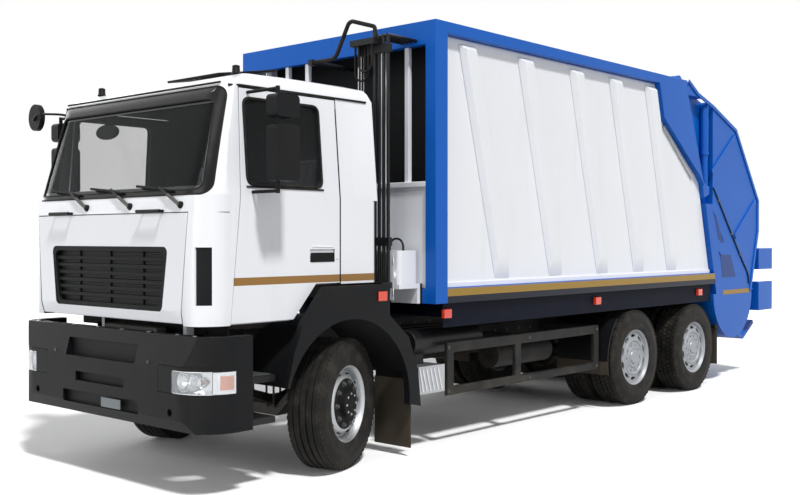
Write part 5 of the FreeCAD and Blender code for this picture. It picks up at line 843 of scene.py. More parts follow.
def doorHandle(hand, side):
    # the dark pocket, the grip over it and the lock beside it
    form = Form()
    (x0, x1), (z0, z1) = handle["x"], handle["z"]
    skin = side * handle["skin"]
    y0, y1 = sorted((skin, skin + side * handle["pocket"]))
    form.box((x0 + 0.01, y0, z0 + 0.005), (x1 - 0.01, y1, z1 - 0.03), finish["dark"])
    grip = [(x0 + 0.02, skin, z1 + 0.012), (x1 - 0.02, skin, z1 + 0.016)]
    form.tube(grip, handle["grip"], finish["cabWhite"])
    lock = [(side * out, radius) for out, radius in handle["lock"]]
    form.turned(lock, (x0 - 0.02, skin, z0 + 0.03), "Y", finish["bright"], 16)
    form.done(f"door_fittings_{hand}", f"{hand}_door", "black_plastic", 0.002)


for hand, side in (("left", 1), ("right", -1)):
    windowSeal(hand, side)
    mirrorGlass(hand, side)
    doorHandle(hand, side)
print("doors fitted")


# Cab fittings

cabLine = {"gutter": [(3.02, 1.088, 2.885), (4.30, 1.088, 2.885), (4.385, 1.06, 2.882)],
           "gutterRadius": 0.009,
           "pillar": [(3.37, 1.149, 1.47), (3.37, 1.149, 2.11), (3.37, 1.094, 2.80)], "pillarRadius": 0.0035,
           "corner": (4.448, 0.91), "bend": 0.2405, "turns": range(18, 98, 8), "z": 1.984,
           "jointRadius": 0.0028,
           "brow": [(4.408, -1.0, 2.905), (4.408, 1.0, 2.905)], "browRadius": 0.008,
           "shadeSkirt": ((4.285, -0.95, 1.10), (4.305, 0.95, 1.20))}
surround = {"outer": [(1.105, 2.106), (-1.105, 2.106), (-1.055, 2.876), (1.055, 2.876)], "outerCorner": 0.09,
            "inner": [(1.050, 2.138), (-1.050, 2.138), (-0.995, 2.788), (0.995, 2.788)], "innerCorner": 0.07,
            "cuts": 70, "longSide": 0.3, "steps": 4, "ahead": 6.0, "shellFront": 4.25, "proud": 0.0015,
            "thick": 0.002, "outerSeal": 0.006, "innerSeal": 0.008, "sortedAlong": Vector((0.36, 0.48, 0.8))}
wipers = {"pivots": (-0.277, 0.298, 0.908), "foot": (4.676, 2.034), "elbow": (4.672, -0.262, 2.168),
          "reach": (-0.30, 0.14), "lift": 0.11, "boss": [(-0.012, 0.024), (0.012, 0.026), (0.022, 0.018)],
          "crank": 0.55, "armRadius": 0.0135, "rodRadius": 0.009, "bladeRadius": 0.0095, "edgeRadius": 0.0045}
cornerMirror = {"middle": (-1.362, 2.826), "half": (0.098, 0.112), "x": (4.470, 4.515),
                "glass": (4.467, 4.4702), "glassShares": (0.88, 0.88),
                "arm": roundedLine([(4.20, -1.22, 2.846), (4.36, -1.225, 2.856), (4.50, -1.27, 2.85),
                                    (4.524, -1.33, 2.84), (4.522, -1.362, 2.80)], 0.04),
                "armRadius": 0.010, "armFinish": "steelBlack", "armSides": 10}
insideMirror = {"middle": (-0.50, 2.655), "half": (0.15, 0.06), "x": (4.345, 4.370),
                "glass": (4.343, 4.3452), "glassShares": (0.9, 0.85),
                "arm": [(4.365, -0.50, 2.69), (4.385, -0.50, 2.76), (4.38, -0.50, 2.80)],
                "armRadius": 0.007, "armFinish": "dark", "armSides": 8}
hatch = {"lid": [(3.895, 3.082), (3.90, 3.100), (3.30, 3.196), (3.285, 3.182)], "half": 0.335,
         "stayY": 0.28, "stay": [(3.36, 3.06), (3.33, 3.186)], "stayRadius": 0.008}
roofLamp = {"x": axle["front"] + 0.83, "y": 0.88, "z": 2.998,
            "profile": [(0, 0.034), (0.008, 0.036), (0.016, 0.030), (0.05, 0.028), (0.066, 0.018),
                        (0.07, 0.002)]}
roofBead = {"x": (3.10, 3.62), "y": 0.62, "half": 0.02, "z": (3.036, 3.047)}


def cabLines():
    # the gutters, the door seals, the joint round each corner, the bead over the screen and a dark strip
    # under the front
    form = Form()
    (x, y), reach = cabLine["corner"], cabLine["bend"]
    turns = [math.radians(turn) for turn in cabLine["turns"]]
    joint = [(x + reach * math.cos(turn), y + reach * math.sin(turn), cabLine["z"]) for turn in turns]
    for side in (1, -1):
        form.tube(sided(side, cabLine["gutter"]), cabLine["gutterRadius"], finish["seal"])
        form.tube(sided(side, cabLine["pillar"]), cabLine["pillarRadius"], finish["seal"], 6)
        form.tube(sided(side, joint), cabLine["jointRadius"], finish["seal"], 6)
    form.tube(cabLine["brow"], cabLine["browRadius"], finish["seal"])
    # a dark strip under the cab's front: partly the parts hidden there, partly painted shade
    form.box(*cabLine["shadeSkirt"], finish["dark"])
    form.done("cab_seals", "cab", "black_plastic")


def denseLoop(corners, radius):
    # a rounded outline across the truck, its long sides cut up so that they can follow the shell
    line = loop([(0, y, z) for y, z in corners], radius, 8)[:-1]
    result = []
    for index, spot in enumerate(line):
        after = line[(index + 1) % len(line)]
        cuts = surround["cuts"] if (after - spot).length > surround["longSide"] else 1
        result += [spot.lerp(after, step / cuts) for step in range(cuts)]
    return result


def screenSurround():
    # the dark printed edge round the windscreen, laid on the shell, with a seal along each of its edges
    shell = nodes["cab_shell"].data
    faces = [face.vertices for face in shell.polygons]
    skin = BVHTree.FromPolygons([corner.co for corner in shell.vertices], faces)
    steps = surround["steps"]
    rows = []
    for far, near in zip(denseLoop(surround["outer"], surround["outerCorner"]),
                         denseLoop(surround["inner"], surround["innerCorner"])):
        row = []
        for step in range(steps + 1):
            spot = far.lerp(near, step / steps)
            hit = skin.ray_cast(Vector((surround["ahead"], spot.y, spot.z)), Vector((-1, 0, 0)))[0]
            if hit and hit.x > surround["shellFront"]:
                x = hit.x + surround["proud"]
            else:
                x = 2 * row[-1].x - row[-2].x   # past the opening's edge it runs on as it was
            row.append(Vector((x, spot.y, spot.z)))
        rows.append(row)
    form = Form()
    corners = [[form.mesh.verts.new(spot) for spot in row] for row in rows]
    sheet = []
    for row, after in zip(corners, corners[1:] + corners[:1]):
        for step in range(steps):
            sheet.append(form.mesh.faces.new((row[step], row[step + 1], after[step + 1], after[step])))
    form.take(sheet, finish["gloss"])
    bmesh.ops.recalc_face_normals(form.mesh, faces=form.mesh.faces)
    bmesh.ops.solidify(form.mesh, geom=form.mesh.faces[:], thickness=surround["thick"])
    # thickening leaves corners and faces in an order that changes from run to run
    form.mesh.verts.sort(key=lambda corner: corner.co.dot(surround["sortedAlong"]))
    form.mesh.faces.sort(key=lambda face: face.calc_center_median().dot(surround["sortedAlong"]))
    closed = rows + rows[:1]
    form.tube([row[0] for row in closed], surround["outerSeal"], finish["seal"])
    form.tube([row[-1] - Vector((0.006, 0, 0)) for row in closed], surround["innerSeal"], finish["seal"])
    form.done("screen_surround", "cab", "black_plastic")


def wiperArms():
    # a boss, a cranked arm and a blade with its rubber edge for each wiper
    form = Form()
    for y in wipers["pivots"]:
        start = Vector((wipers["foot"][0], y, wipers["foot"][1]))
        elbow = Vector(wipers["elbow"]) + Vector((0, y, 0))
        form.turned(wipers["boss"], tuple(start), "X", finish["dark"], 20)
        middle = start.lerp(elbow, wipers["crank"]) + Vector((0.012, 0, 0))
        form.tube([start + Vector((0.016, 0, 0)), middle], wipers["armRadius"], finish["iron"])
        form.tube([middle, elbow], wipers["rodRadius"], finish["steelBlack"])
        ends = [elbow + Vector((-0.006, step, -0.02 - wipers["lift"] * step)) for step in wipers["reach"]]
        ends[0].x -= 0.012
        blade = [ends[0], elbow + Vector((-0.004, 0, -0.012)), ends[1]]
        form.tube(blade, wipers["bladeRadius"], finish["dark"])
        edge = [spot + Vector((-0.009, 0, -0.004)) for spot in ends]
        form.tube(edge, wipers["edgeRadius"], finish["seal"], 6)
    form.done("wipers", "cab", "black_plastic")


def ovalMirror(name, body, values):
    # an oval head with its glass, on a round arm
    form = Form()
    (y, z), (halfY, halfZ) = values["middle"], values["half"]
    turns = [2 * math.pi * step / 32 for step in range(32)]
    for (wide, high), (back, front), tone in (((1, 1), values["x"], "plastic"),
                                              (values["glassShares"], values["glass"], "mirror")):
        outline = [(y + halfY * wide * math.cos(turn), z + halfZ * high * math.sin(turn)) for turn in turns]
        form.prism(outline, back, front, "X", finish[tone])
    form.tube(values["arm"], values["armRadius"], finish[values["armFinish"]], values["armSides"])
    form.done(name, body, "black_plastic", 0.003)


def hatchLid():
    # the roof hatch's lid, tipped up at its back on two stays
    form = Form()
    form.prism(hatch["lid"], -hatch["half"], hatch["half"], "Y", finish["plastic"])
    for y in (-hatch["stayY"], hatch["stayY"]):
        form.tube([(x, y, z) for x, z in hatch["stay"]], hatch["stayRadius"], finish["bright"])
    form.done("roof_hatch_lid", "cab", "black_plastic", 0.006)


def roofFittings():
    # the roof lamps, and the pressed beads beside the hatch
    lamps, beads = Form(), Form()
    (x0, x1), (z0, z1) = roofBead["x"], roofBead["z"]
    for side in (1, -1):
        place = (roofLamp["x"], side * roofLamp["y"], roofLamp["z"])
        lamps.turned(roofLamp["profile"], place, "Z", finish["plastic"], 24)
        y0, y1 = across(-side, roofBead["y"] - roofBead["half"], roofBead["y"] + roofBead["half"])
        beads.box((x0, y0, z0), (x1, y1, z1), finish["cabWhite"])
    lamps.done("roof_lamps", "cab", "black_plastic")
    beads.done("roof_beads", "cab", "white", 0.004)


cabLines()
screenSurround()
wiperArms()
ovalMirror("corner_mirror", "right_door", cornerMirror)
ovalMirror("inside_mirror", "cab", insideMirror)
hatchLid()
roofFittings()


# Seats

padding = {"steps": 18, "seamDepth": 0.30, "seamWide": 0.045, "rimShare": 0.35, "pinch": 0.035,
           "piping": 0.005}
seat = {"x": (3.2575, 3.7575), "y": 0.56, "half": 0.235,
        "cushionZ": (1.68, 1.765), "cushionFrom": 0.09, "cushionCrown": 0.03, "cushionSeams": (-0.5, 0.5),
        "backHalf": 0.34, "backThick": (-0.055, 0.035), "backCrown": 0.022, "backSeams": (-0.52, 0.52),
        "backZ": 2.115, "backFrom": 0.005, "lean": 79,
        "base": (0.06, 0.20, 1.50, 1.535),
        "stand": [(0.08, 1.535), (-0.10, 1.535), (-0.04, 1.675), (0.04, 1.675)], "standHalf": 0.19}


def cushion(form, low, high, crown, seams):
    # a padded block that crowns in its middle, pulls in at its edge and at its sewn seams, and is piped
    lowest, highest = Vector(low), Vector(high)
    middle, half = (lowest + highest) / 2, (highest - lowest) / 2
    steps, rim = padding["steps"], padding["rimShare"]
    count = steps + 1
    points = []
    for lift in (-1, 1):
        for i in range(count):
            for j in range(count):
                u, v = 2 * i / steps - 1, 2 * j / steps - 1
                full = max(0.0, 1 - u ** 4) ** 0.5 * max(0.0, 1 - v ** 4) ** 0.5
                height = lift * half.z * (rim + (1 - rim) * full ** 0.6)
                if lift > 0:
                    folds = sum(math.exp(-((v - seam) / padding["seamWide"]) ** 2) for seam in seams)
                    height = height * (1 - padding["seamDepth"] * folds) + crown * full
                pinch = 1 - padding["pinch"] * (1 - full)
                points.append(middle + Vector((u * half.x * pinch, v * half.y * pinch, height)))

    def at(upper, i, j):
        return upper * count * count + i * count + j
    sides = []
    for i in range(steps):
        for j in range(steps):
            sides.append((at(0, i, j), at(0, i, j + 1), at(0, i + 1, j + 1), at(0, i + 1, j)))
            sides.append((at(1, i, j), at(1, i + 1, j), at(1, i + 1, j + 1), at(1, i, j + 1)))
    edge = [(i, 0) for i in range(count)] + [(steps, j) for j in range(1, count)]
    edge += [(i, steps) for i in reversed(range(steps))] + [(0, j) for j in reversed(range(1, steps))]
    for (a, b), (c, d) in zip(edge, edge[1:] + edge[:1]):
        sides.append((at(0, a, b), at(0, c, d), at(1, c, d), at(1, a, b)))
    form.add(points, sides, finish["cloth"])
    piping = [points[at(1, a, b)] * 0.5 + points[at(0, a, b)] * 0.5 for a, b in edge + edge[:1]]
    form.tube(piping, padding["piping"], finish["seal"], 6)


def makeSeats():
    bases = Form()
    (x0, x1), half = seat["x"], seat["half"]
    inset, baseHalf, baseLow, baseHigh = seat["base"]
    for who, side in (("driver", 1), ("passenger", -1)):
        y = side * seat["y"]
        form = Form()
        low, high = seat["cushionZ"]
        cushion(form, (x0 + seat["cushionFrom"], y - half, low), (x1, y + half, high), seat["cushionCrown"],
                seat["cushionSeams"])
        piece = form.done(f"seat_cushion_{who}", "cab", "seat_cloth")
        back = Form()
        behind, front = seat["backThick"]
        cushion(back, (-seat["backHalf"], -half, behind), (seat["backHalf"], half, front), seat["backCrown"],
                seat["backSeams"])
        stand = Matrix.Translation((x0 + seat["backFrom"], y, seat["backZ"]))
        lean = Matrix.Rotation(math.radians(seat["lean"]), 4, "Y") @ Matrix.Rotation(math.pi, 4, "Z")
        for vertex in back.mesh.verts:
            vertex.co = stand @ lean @ vertex.co
        piece = back.done(f"seat_back_{who}", "cab", "seat_cloth")
        bases.box((x0 + inset, y - baseHalf, baseLow), (x1 - inset, y + baseHalf, baseHigh), finish["dark"])
        outline = [((x0 if ahead > 0 else x1) + ahead, z) for ahead, z in seat["stand"]]
        bases.prism(outline, y - seat["standHalf"], y + seat["standHalf"], "Y", finish["dark"])
    piece = bases.done("seat_bases", "cab", "black_plastic", 0.01, 3)
    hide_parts("seats")


makeSeats()
print("cab fitted out")


# Front bumper and lamps

bumper = {"front": 4.7575, "half": 1.25, "corner": 0.30, "swell": 35}
headlamp = {"reach": (0.906, 1.2365, 1.405), "z": (0.738, 0.895), "recess": (0.742, 0.923), "deep": -0.092,
            "bowls": ((0.990, 0.070, "clear"), (1.115, 0.060, "clear"), (1.205, 0.030, "amber")),
            "bowl": [(0.0, 0, 0.002), (0.004, 0.3, 0), (0.016, 0.65, 0), (0.040, 1, 0), (0.050, 1, 0.003),
                     (0.042, 1, 0.005), (0.010, 0.7, 0), (-0.004, 0.3, 0), (-0.006, 0, 0.002)],
            "bulb": [(0.0, 0.010), (0.030, 0.012), (0.040, 0.010), (0.044, 0.002)]}
plate = {"x": (4.755, 4.7573), "y": (0.03, 0.28), "z": (0.555, 0.625)}
stud = {"x": 4.66, "y": (0.16, 0.50, 0.84, 1.04), "z": 1.1285,
        "profile": [(0, 0.016), (0.004, 0.016), (0.006, 0.012)]}
faceBolt = {"x": 4.7562, "y": 0.62, "z": (0.93, 0.60),
            "profile": [(-0.006, 0.012), (0.0, 0.012), (0.0012, 0.010)]}
grilleScreen = {"x": 4.646, "half": 0.72, "z": (1.30, 1.728), "bars": 34, "first": 1.31, "pitch": 0.0124,
                "bar": (0.0015, 0.70, 0.0025)}


def bumperLine(first, last, out, steps=16):
    # points round the bumper's outside between two lengths from its middle, stood off by out past the corner
    result = []
    corner = bumper["corner"]
    straight = bumper["half"] - corner
    for step in range(steps + 1):
        reach = first + (last - first) * step / steps
        turn = max(0.0, reach - straight) / corner
        grown = corner + (out * min(1.0, bumper["swell"] * turn * turn) if out > 0 else out)
        result.append((bumper["front"] - corner + grown * math.cos(turn),
                       min(reach, straight) + grown * math.sin(turn)))
    return result


def lampBands():
    # each sheet of a lamp: its two lengths, how far out its faces stand, its two heights and its finish
    start, corner, end = headlamp["reach"]
    low, high = headlamp["z"]
    recess, top = headlamp["recess"]
    deep = headlamp["deep"]
    return [(start, corner, 0.004, -0.004, low + 0.002, high - 0.002, "clear"),
            (corner, end, 0.004, 0.0013, low + 0.002, high - 0.002, "clear"),
            (corner + 0.001, end - 0.002, 0.001, -0.001, low + 0.004, high - 0.004, "chrome"),
            (start, corner, deep, deep - 0.006, low, high, "chrome"),
            (start, corner, -0.006, deep - 0.004, low, low + 0.005, "chrome"),
            (start, corner, -0.006, deep - 0.004, high - 0.005, high, "chrome"),
            (corner + 0.05, end - 0.015, 0.0012, -0.001, low + 0.03, high - 0.03, "amber"),
            # the bumper's own face beside and above the lamp
            (recess, start - 0.002, -0.0008, -0.030, low, top, "plastic"),
            (start - 0.002, corner - 0.001, -0.0008, -0.030, high + 0.002, top, "plastic")]


def makeHeadlamps():
    middle = sum(headlamp["z"]) / 2
    for hand, side in (("left", 1), ("right", -1)):
        lamp = Form()
        for first, last, outer, inner, low, high, tone in lampBands():
            outline = bumperLine(first, last, outer) + list(reversed(bumperLine(first, last, inner)))
            lamp.prism([(x, side * y) for x, y in outline], low, high, "Z", finish[tone])
        for reach, wide, tone in headlamp["bowls"]:
            x, y = bumperLine(reach, reach + 0.01, headlamp["deep"] - 0.002, 1)[0]
            bowl = [(along, wide * share + more) for along, share, more in headlamp["bowl"]]
            lamp.turned(bowl, (x, side * y, middle), "X", finish["chrome"], 28)
            lamp.turned(headlamp["bulb"], (x + 0.006, side * y, middle), "X", finish[tone], 16)
        piece = lamp.done(f"headlamp_{hand}", "chassis", "lamp_plastic")
        if hand == "left":
            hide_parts("headlamps")


def bumperTrim():
    # the blank number plate, the studs on the bumper's step and the bolts in its face
    form = Form()
    form.box(*zip(plate["x"], plate["y"], plate["z"]), finish["grey"])
    for side in (1, -1):
        for y in stud["y"]:
            form.turned(stud["profile"], (stud["x"], side * y, stud["z"]), "Z", finish["bright"], 16)
        for z in faceBolt["z"]:
            place = (faceBolt["x"], side * faceBolt["y"], z)
            form.turned(faceBolt["profile"], place, "X", finish["iron"], 16)
    form.done("bumper_fittings", "chassis", "bright_steel")


def grilleCore():
    # the fine bars close behind the grille, and a dark sheet behind them as painted shade for the space
    # beyond
    form = Form()
    x, half = grilleScreen["x"], grilleScreen["half"]
    low, high = grilleScreen["z"]
    form.box((x - 0.006, -half, low), (x - 0.002, half, high), finish["dark"])
    form.done("grille_screen", "flap", "black_plastic")
    bar = Form()
    bar.box([-size for size in grilleScreen["bar"]], grilleScreen["bar"], None)
    place = Matrix.Translation((x, 0, grilleScreen["first"]))
    bars = repeated(rowTree, itemMesh(bar), finish["steelBlack"], [place], grilleScreen["bars"],
                    step=(0, 0, grilleScreen["pitch"]))
    placed("grille_bars", bars, "flap")


makeHeadlamps()
bumperTrim()
grilleCore()
print("front fitted out")


# Wheels

wheelSeat = {"steer": 18.5, "kingpin": 0.88, "offset": 0.128, "outer": 1.080, "inner": 0.735}
tyre = {"radius": 0.512, "blocks": 64, "blockLong": 0.0465, "groove": 0.0165, "rowHalf": 0.0205, "gap": 0.002,
        "rows": (-0.104, -0.055, 0.0, 0.055, 0.104), "stagger": 0.012, "sink": 0.0008,
        "sideLug": (0.131, 0.004),
        "half": [(0.128, 0.292), (0.140, 0.306), (0.144, 0.325), (0.1485, 0.362), (0.1470, 0.366),
                 (0.1500, 0.395), (0.1490, 0.420), (0.1465, 0.424), (0.1430, 0.455), (0.1405, 0.459),
                 (0.132, 0.486), (0.127, 0.4955)],
        "shoulder": [(0.1275, 0.494), (0.1275, 0.507), (0.121, 0.5105), (0.119, 0.494)],
        "ribHalf": [(0.0205, 0.4945), (0.0205, 0.5095), (0.0185, 0.5112)]}
rim = {"outerHalf": [(-0.1343, 0.303), (-0.1290, 0.3045), (-0.121, 0.300), (-0.114, 0.2905)],
       "innerHalf": [(0.1335, 0.295), (0.120, 0.283), (0.104, 0.272), (0.02, 0.268)]}
rimProfile = bothHalves(rim["outerHalf"]) + bothHalves(rim["innerHalf"])
cover = {"holes": 10, "perHole": 14, "low": 0.214, "high": 0.250, "span": 0.62, "depth": 0.022,
         "inner": (1.1935, 0.196), "outer": (1.1830, 0.271), "nuts": 10, "nut": (0.0125, 0.010),
         "nutsAt": (1.1885, 0.140),
         "dome": [(1.160, 0.001), (1.160, 0.196), (1.1935, 0.196), (1.1990, 0.190), (1.1990, 0.180),
                  (1.1900, 0.172), (1.1880, 0.160), (1.1900, 0.118), (1.1985, 0.108), (1.1985, 0.100),
                  (1.1935, 0.092), (1.1935, 0.072), (1.2050, 0.064), (1.2055, 0.030), (1.2040, 0.001)],
         "behind": [(1.150, 0.15), (1.150, 0.2705), (1.157, 0.2705), (1.157, 0.15)],
         "drum": [(0.61, 0.002), (0.61, 0.165), (0.63, 0.205), (0.80, 0.205), (0.82, 0.15), (1.155, 0.15),
                  (1.155, 0.002)],
         "web": [(0.79, 0.19), (0.79, 0.272), (0.805, 0.272), (0.805, 0.19)]}
hub = {"bell": [(0.058, 0.2705), (0.066, 0.262), (0.074, 0.240), (0.100, 0.222), (0.108, 0.205),
                (0.108, 0.11), (0.094, 0.11), (0.094, 0.20), (0.088, 0.212), (0.060, 0.230), (0.050, 0.2705)],
       "flange": [(0.100, 0.002), (0.100, 0.197), (0.1105, 0.197), (0.1125, 0.193), (0.1125, 0.118),
                  (0.118, 0.112), (0.150, 0.106), (0.158, 0.096), (0.160, 0.060), (0.166, 0.052),
                  (0.1675, 0.002)],
       "drum": [(-0.12, 0.08), (-0.12, 0.198), (0.02, 0.205), (0.05, 0.198), (0.05, 0.08)],
       "nuts": {"radius": 0.016, "height": 0.022, "reach": 0.1675, "out": 0.1125, "count": 10,
                "tone": "iron"},
       "hub_bolts": {"radius": 0.007, "height": 0.006, "reach": 0.080, "out": 0.1592, "count": 8,
                     "tone": "bright"},
       "hole": [(0, 0.019), (0.003, 0.0185), (0.0035, 0.002)], "holes": 10, "holesAt": (0.083, 0.2375)}


def wheelPlace(word, side, which="outer"):
    # where a wheel's middle goes, with its axis along Y
    if word == "front":
        turn = Matrix.Rotation(math.radians(wheelSeat["steer"]), 4, "Z")
        pin = Matrix.Translation((axle["front"], side * wheelSeat["kingpin"], axle["height"]))
        return pin @ turn @ Matrix.Translation((0, side * wheelSeat["offset"], 0))
    return Matrix.Translation((axle[word], side * wheelSeat[which], axle["height"]))


def spun(form, profile, tone, place, steps=72, closed=True):
    # a profile of (place along the axle, radius) turned about the axle
    form.turned(profile, (0, 0, 0), "Y", finish[tone], steps, closed, place)


def ringed(name, item, tone, places, out, count, reach, body):
    # items in a ring about each axle, standing outwards, a distance out along it
    spots = [place @ Matrix.Translation((0, out, 0)) @ facingOut(1) for place in places]
    placed(name, repeated(ringTree, item, finish[tone], spots, count, reach), body)


def treadItem(blocks):
    # one pitch of the tread; the front tyres have turned ribs in place of its blocks
    item = Form()
    half, depth = tyre["rowHalf"], tyre["groove"]
    for index, along in enumerate(tyre["rows"] if blocks else ()):
        shift = tyre["stagger"] * (-1) ** index
        long = tyre["blockLong"] / 2 - tyre["gap"]
        item.box((-depth - 0.001, shift - long, along - half), (0, shift + long, along + half), None)
    out, half = tyre["sideLug"]
    for side in (-1, 1):
        item.box((-0.035, -0.012, side * out - half), (-0.010, 0.012, side * out + half), None)
    return itemMesh(item)


def makeTyres(word, hand, side):
    front = word == "front"
    body = f"{hand}_{word}_wheel" + ("" if front else "s")
    node = f"tyre_front_{hand}" if front else f"tyres_{word}_{hand}"
    places = [wheelPlace(word, side, which) for which in (("outer",) if front else ("outer", "inner"))]
    form = Form()
    for place in places:
        spun(form, bothHalves(tyre["half"]), "rubber", place, 96)
    for edge in (1, -1):
        # a ring either side of the tread keeps the shoulder round
        for place in places:
            spun(form, [(edge * along, radius) for along, radius in tyre["shoulder"]], "rubber", place, 96)
    for row in tyre["rows"] if front else ():
        rib = [(row + along, radius) for along, radius in bothHalves(tyre["ribHalf"])]
        spun(form, rib, "rubber", places[0], 96)
    piece = form.done(node + "_carcass", body, "tyre_rubber")
    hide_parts(node)
    ringed(node + "_tread", treadItem(not front), "rubber", places, 0, tyre["blocks"],
           tyre["radius"] - tyre["sink"], body)


def holedBand(form, place):
    # the cover's ring of sheet with rounded long holes, closed on both of its sides
    (innerOut, innerRadius), (outerOut, outerRadius) = cover["inner"], cover["outer"]
    middle = (cover["low"] + cover["high"]) / 2
    reach = (cover["high"] - cover["low"]) / 2
    perHole = cover["perHole"]
    total = cover["holes"] * perHole

    def spot(radius, angle, sink):
        share = (radius - innerRadius) / (outerRadius - innerRadius)
        along = innerOut + (outerOut - innerOut) * share - sink
        return place @ Vector((radius * math.cos(angle), along, radius * math.sin(angle)))
    lines = []
    for step in range(total):
        angle = 2 * math.pi * step / total
        within = (step % perHole) / perHole * 2 - 1
        room = max(0.0, 1 - (within / cover["span"]) ** 2) ** 0.5
        radii = (innerRadius, middle - reach * room, middle + reach * room, outerRadius)
        line = [spot(radius, angle, sink) for sink in (0.0, cover["depth"]) for radius in radii]
        lines.append(line + [room > 0])
    for a, b in zip(lines, lines[1:] + lines[:1]):
        # the sheet's front, its back and its two rims, and the walls of a hole where there is one
        pairs = [(0, 1), (2, 3), (5, 4), (7, 6), (4, 0), (3, 7)]
        if a[8] or b[8]:
            pairs += [(1, 5), (6, 2)]
        for first, second in pairs:
            quad = (a[first], b[first], b[second], a[second])
            form.take([form.mesh.faces.new([form.mesh.verts.new(point) for point in quad])], finish["wheel"])


def makeRearRims(word, hand, side):
    body = f"{hand}_{word}_wheels"
    node = f"rims_{word}_{hand}"
    turn = Matrix.Identity(4) if side > 0 else Matrix.Rotation(math.pi, 4, "Z")
    centre = Matrix.Translation((axle[word], 0, axle["height"])) @ turn
    form = Form()
    for which in ("outer", "inner"):
        spun(form, rimProfile, "wheel", wheelPlace(word, side, which))
    holedBand(form, centre)
    # the domed middle, a dark sheet behind the holes as painted shade seen through them, the drum, and the
    # inner wheel's web
    spun(form, cover["dome"], "wheel", centre, 72, False)
    spun(form, cover["behind"], "dark", centre)
    spun(form, cover["drum"], "iron", centre, 48, False)
    spun(form, cover["web"], "wheel", centre)
    bmesh.ops.remove_doubles(form.mesh, verts=form.mesh.verts, dist=1e-5)
    piece = form.done(f"{node}_cover", body, "light_wheel")
    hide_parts(node)
    out, reach = cover["nutsAt"]
    ringed(f"{node}_nuts", boltMesh(*cover["nut"]), "wheel", [centre], out, cover["nuts"], reach, body)


def makeFrontRims(hand, side):
    body = f"{hand}_front_wheel"
    turn = Matrix.Identity(4) if side > 0 else Matrix.Rotation(math.pi, 4, "Z")
    place = wheelPlace("front", side) @ turn
    form = Form()
    spun(form, rimProfile, "alloy", place)
    spun(form, hub["bell"], "alloy", place)
    spun(form, hub["flange"], "dark", place, 60, False)
    spun(form, hub["drum"], "iron", place, 60)
    piece = form.done(f"rim_front_{hand}_wheel", body, "light_wheel")
    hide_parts(f"rim_front_{hand}")
    for name in ("nuts", "hub_bolts"):
        bolt = hub[name]
        ringed(f"front_{name}_{hand}", boltMesh(bolt["radius"], bolt["height"]), bolt["tone"], [place],
               bolt["out"], bolt["count"], bolt["reach"], body)
    # the bell's round holes, as dark discs on its wall: painted shade for the shadowed inside
    hole = Form()
    hole.turned(hub["hole"], (0, 0, 0), "X", None, 14)
    out, reach = hub["holesAt"]
    ringed(f"front_holes_{hand}", itemMesh(hole), "dark", [place], out, hub["holes"], reach, body)


for hand, side in (("left", 1), ("right", -1)):
    for word in ("front", "second", "last"):
        makeTyres(word, hand, side)
        if word == "front":
            makeFrontRims(hand, side)
        else:
            makeRearRims(word, hand, side)
    dressed(f"knuckle_{hand}", [finish["iron"]], 0.006)
print("wheels made")


# Chassis

mudFlap = {"top": 0.62, "front": 2.62, "guardTop": 0.5}
flapRubber = rubber("mudFlapRubber", linear(66, 59, 50))
outlet = {"x": (2.0975, 2.4375), "y": 1.15, "z": (0.49, 0.72), "box": (2.09, 0.70, 0.73)}


def archFinish(face):
    # 1 on the hanging mud flap, 0 on the moulded arch
    middle = face.calc_center_median()
    return 1 if middle.z < mudFlap["top"] and middle.x < mudFlap["front"] else 0


def guardFinish(face):
    # 1 on the rear wheels' hanging flaps, 0 on their mudguards
    return 1 if face.calc_center_median().z < mudFlap["guardTop"] else 0


def outletFinish(face):
    # 1 on the bright outlet box at the end of the dark muffler
    middle = face.calc_center_median()
    behind, inside, top = outlet["box"]
    return 1 if middle.x > behind and middle.y > inside and middle.z < top else 0


dressed("chassis_frame", [finish["chassis"]], 0.006)
dressed("front_axle", [finish["iron"]], 0.01)
dressed("leaf_springs", [finish["chassis"]], 0.004)
dressed("rear_axles", [finish["chassis"]], 0.01)
dressed("power_unit", [finish["iron"]], 0.02)
dressed("chassis_tanks", [finish["chassis"]], 0.008)
dressed("muffler", [finish["steelBlack"], finish["alloy"]], 0.01, outletFinish)
dressed("side_guards", [finish["chassis"]], 0.008)
dressed("front_bumper", [finish["plastic"]], 0.016, segments=3)
dressed("front_arches", [finish["plastic"], flapRubber], 0.012, archFinish, 3)
dressed("cab_steps", [finish["steelBlack"]], 0.006)
dressed("rear_mudguards", [finish["plastic"], flapRubber], 0.004, guardFinish)
print("chassis dressed")


# Chassis fittings

railBolt = {"x": -2.75, "y": 0.43, "z": (0.855, 1.015), "count": 32, "pitch": 0.21, "radius": 0.011}
# dark sheets under the cab and body, partly liners and partly painted shade where the underside lies in
# shadow
splash = {"y": (0.700, 0.714), "outline": [(3.965, 0.60), (4.32, 0.49), (4.32, 1.12), (3.965, 1.12)],
          "ribX": (3.98, 4.31), "ribY": (0.698, 0.722), "ribZ": ((0.70, 0.73), (0.90, 0.93)),
          "flapX": (axle["front"] - 0.752, axle["front"] - 0.742), "flapY": (0.80, 1.16),
          "flapZ": (0.636, 0.80),
          "beam": ((2.3385, -1.10, 1.25), (2.342, 1.10, 1.42))}
clip = {"y": 0.385, "reach": 0.075, "edge": 0.044, "z": (0.44, 0.66), "radius": 0.009, "nutZ": 0.425,
        "nut": [(0, 0.016), (0.016, 0.015)]}
outletRib = {"count": 6, "first": 0.03, "pitch": 0.05, "wide": 0.018, "slant": 0.055, "inset": 0.02}
tank = {"x": (0.8375, 2.0375), "y": (-1.06, -0.48), "z": (0.43, 1.01), "strapInset": 0.18, "strapHalf": 0.02,
        "strapThick": 0.004, "strapCorner": 0.06, "capBehind": 0.30, "capInset": 0.16,
        "cap": [(0, 0.062), (0.018, 0.062), (0.024, 0.056), (0.040, 0.052), (0.044, 0.040)],
        "latch": [(0.205, 0.03), (0.235, 0.012)], "latchRadius": 0.006}
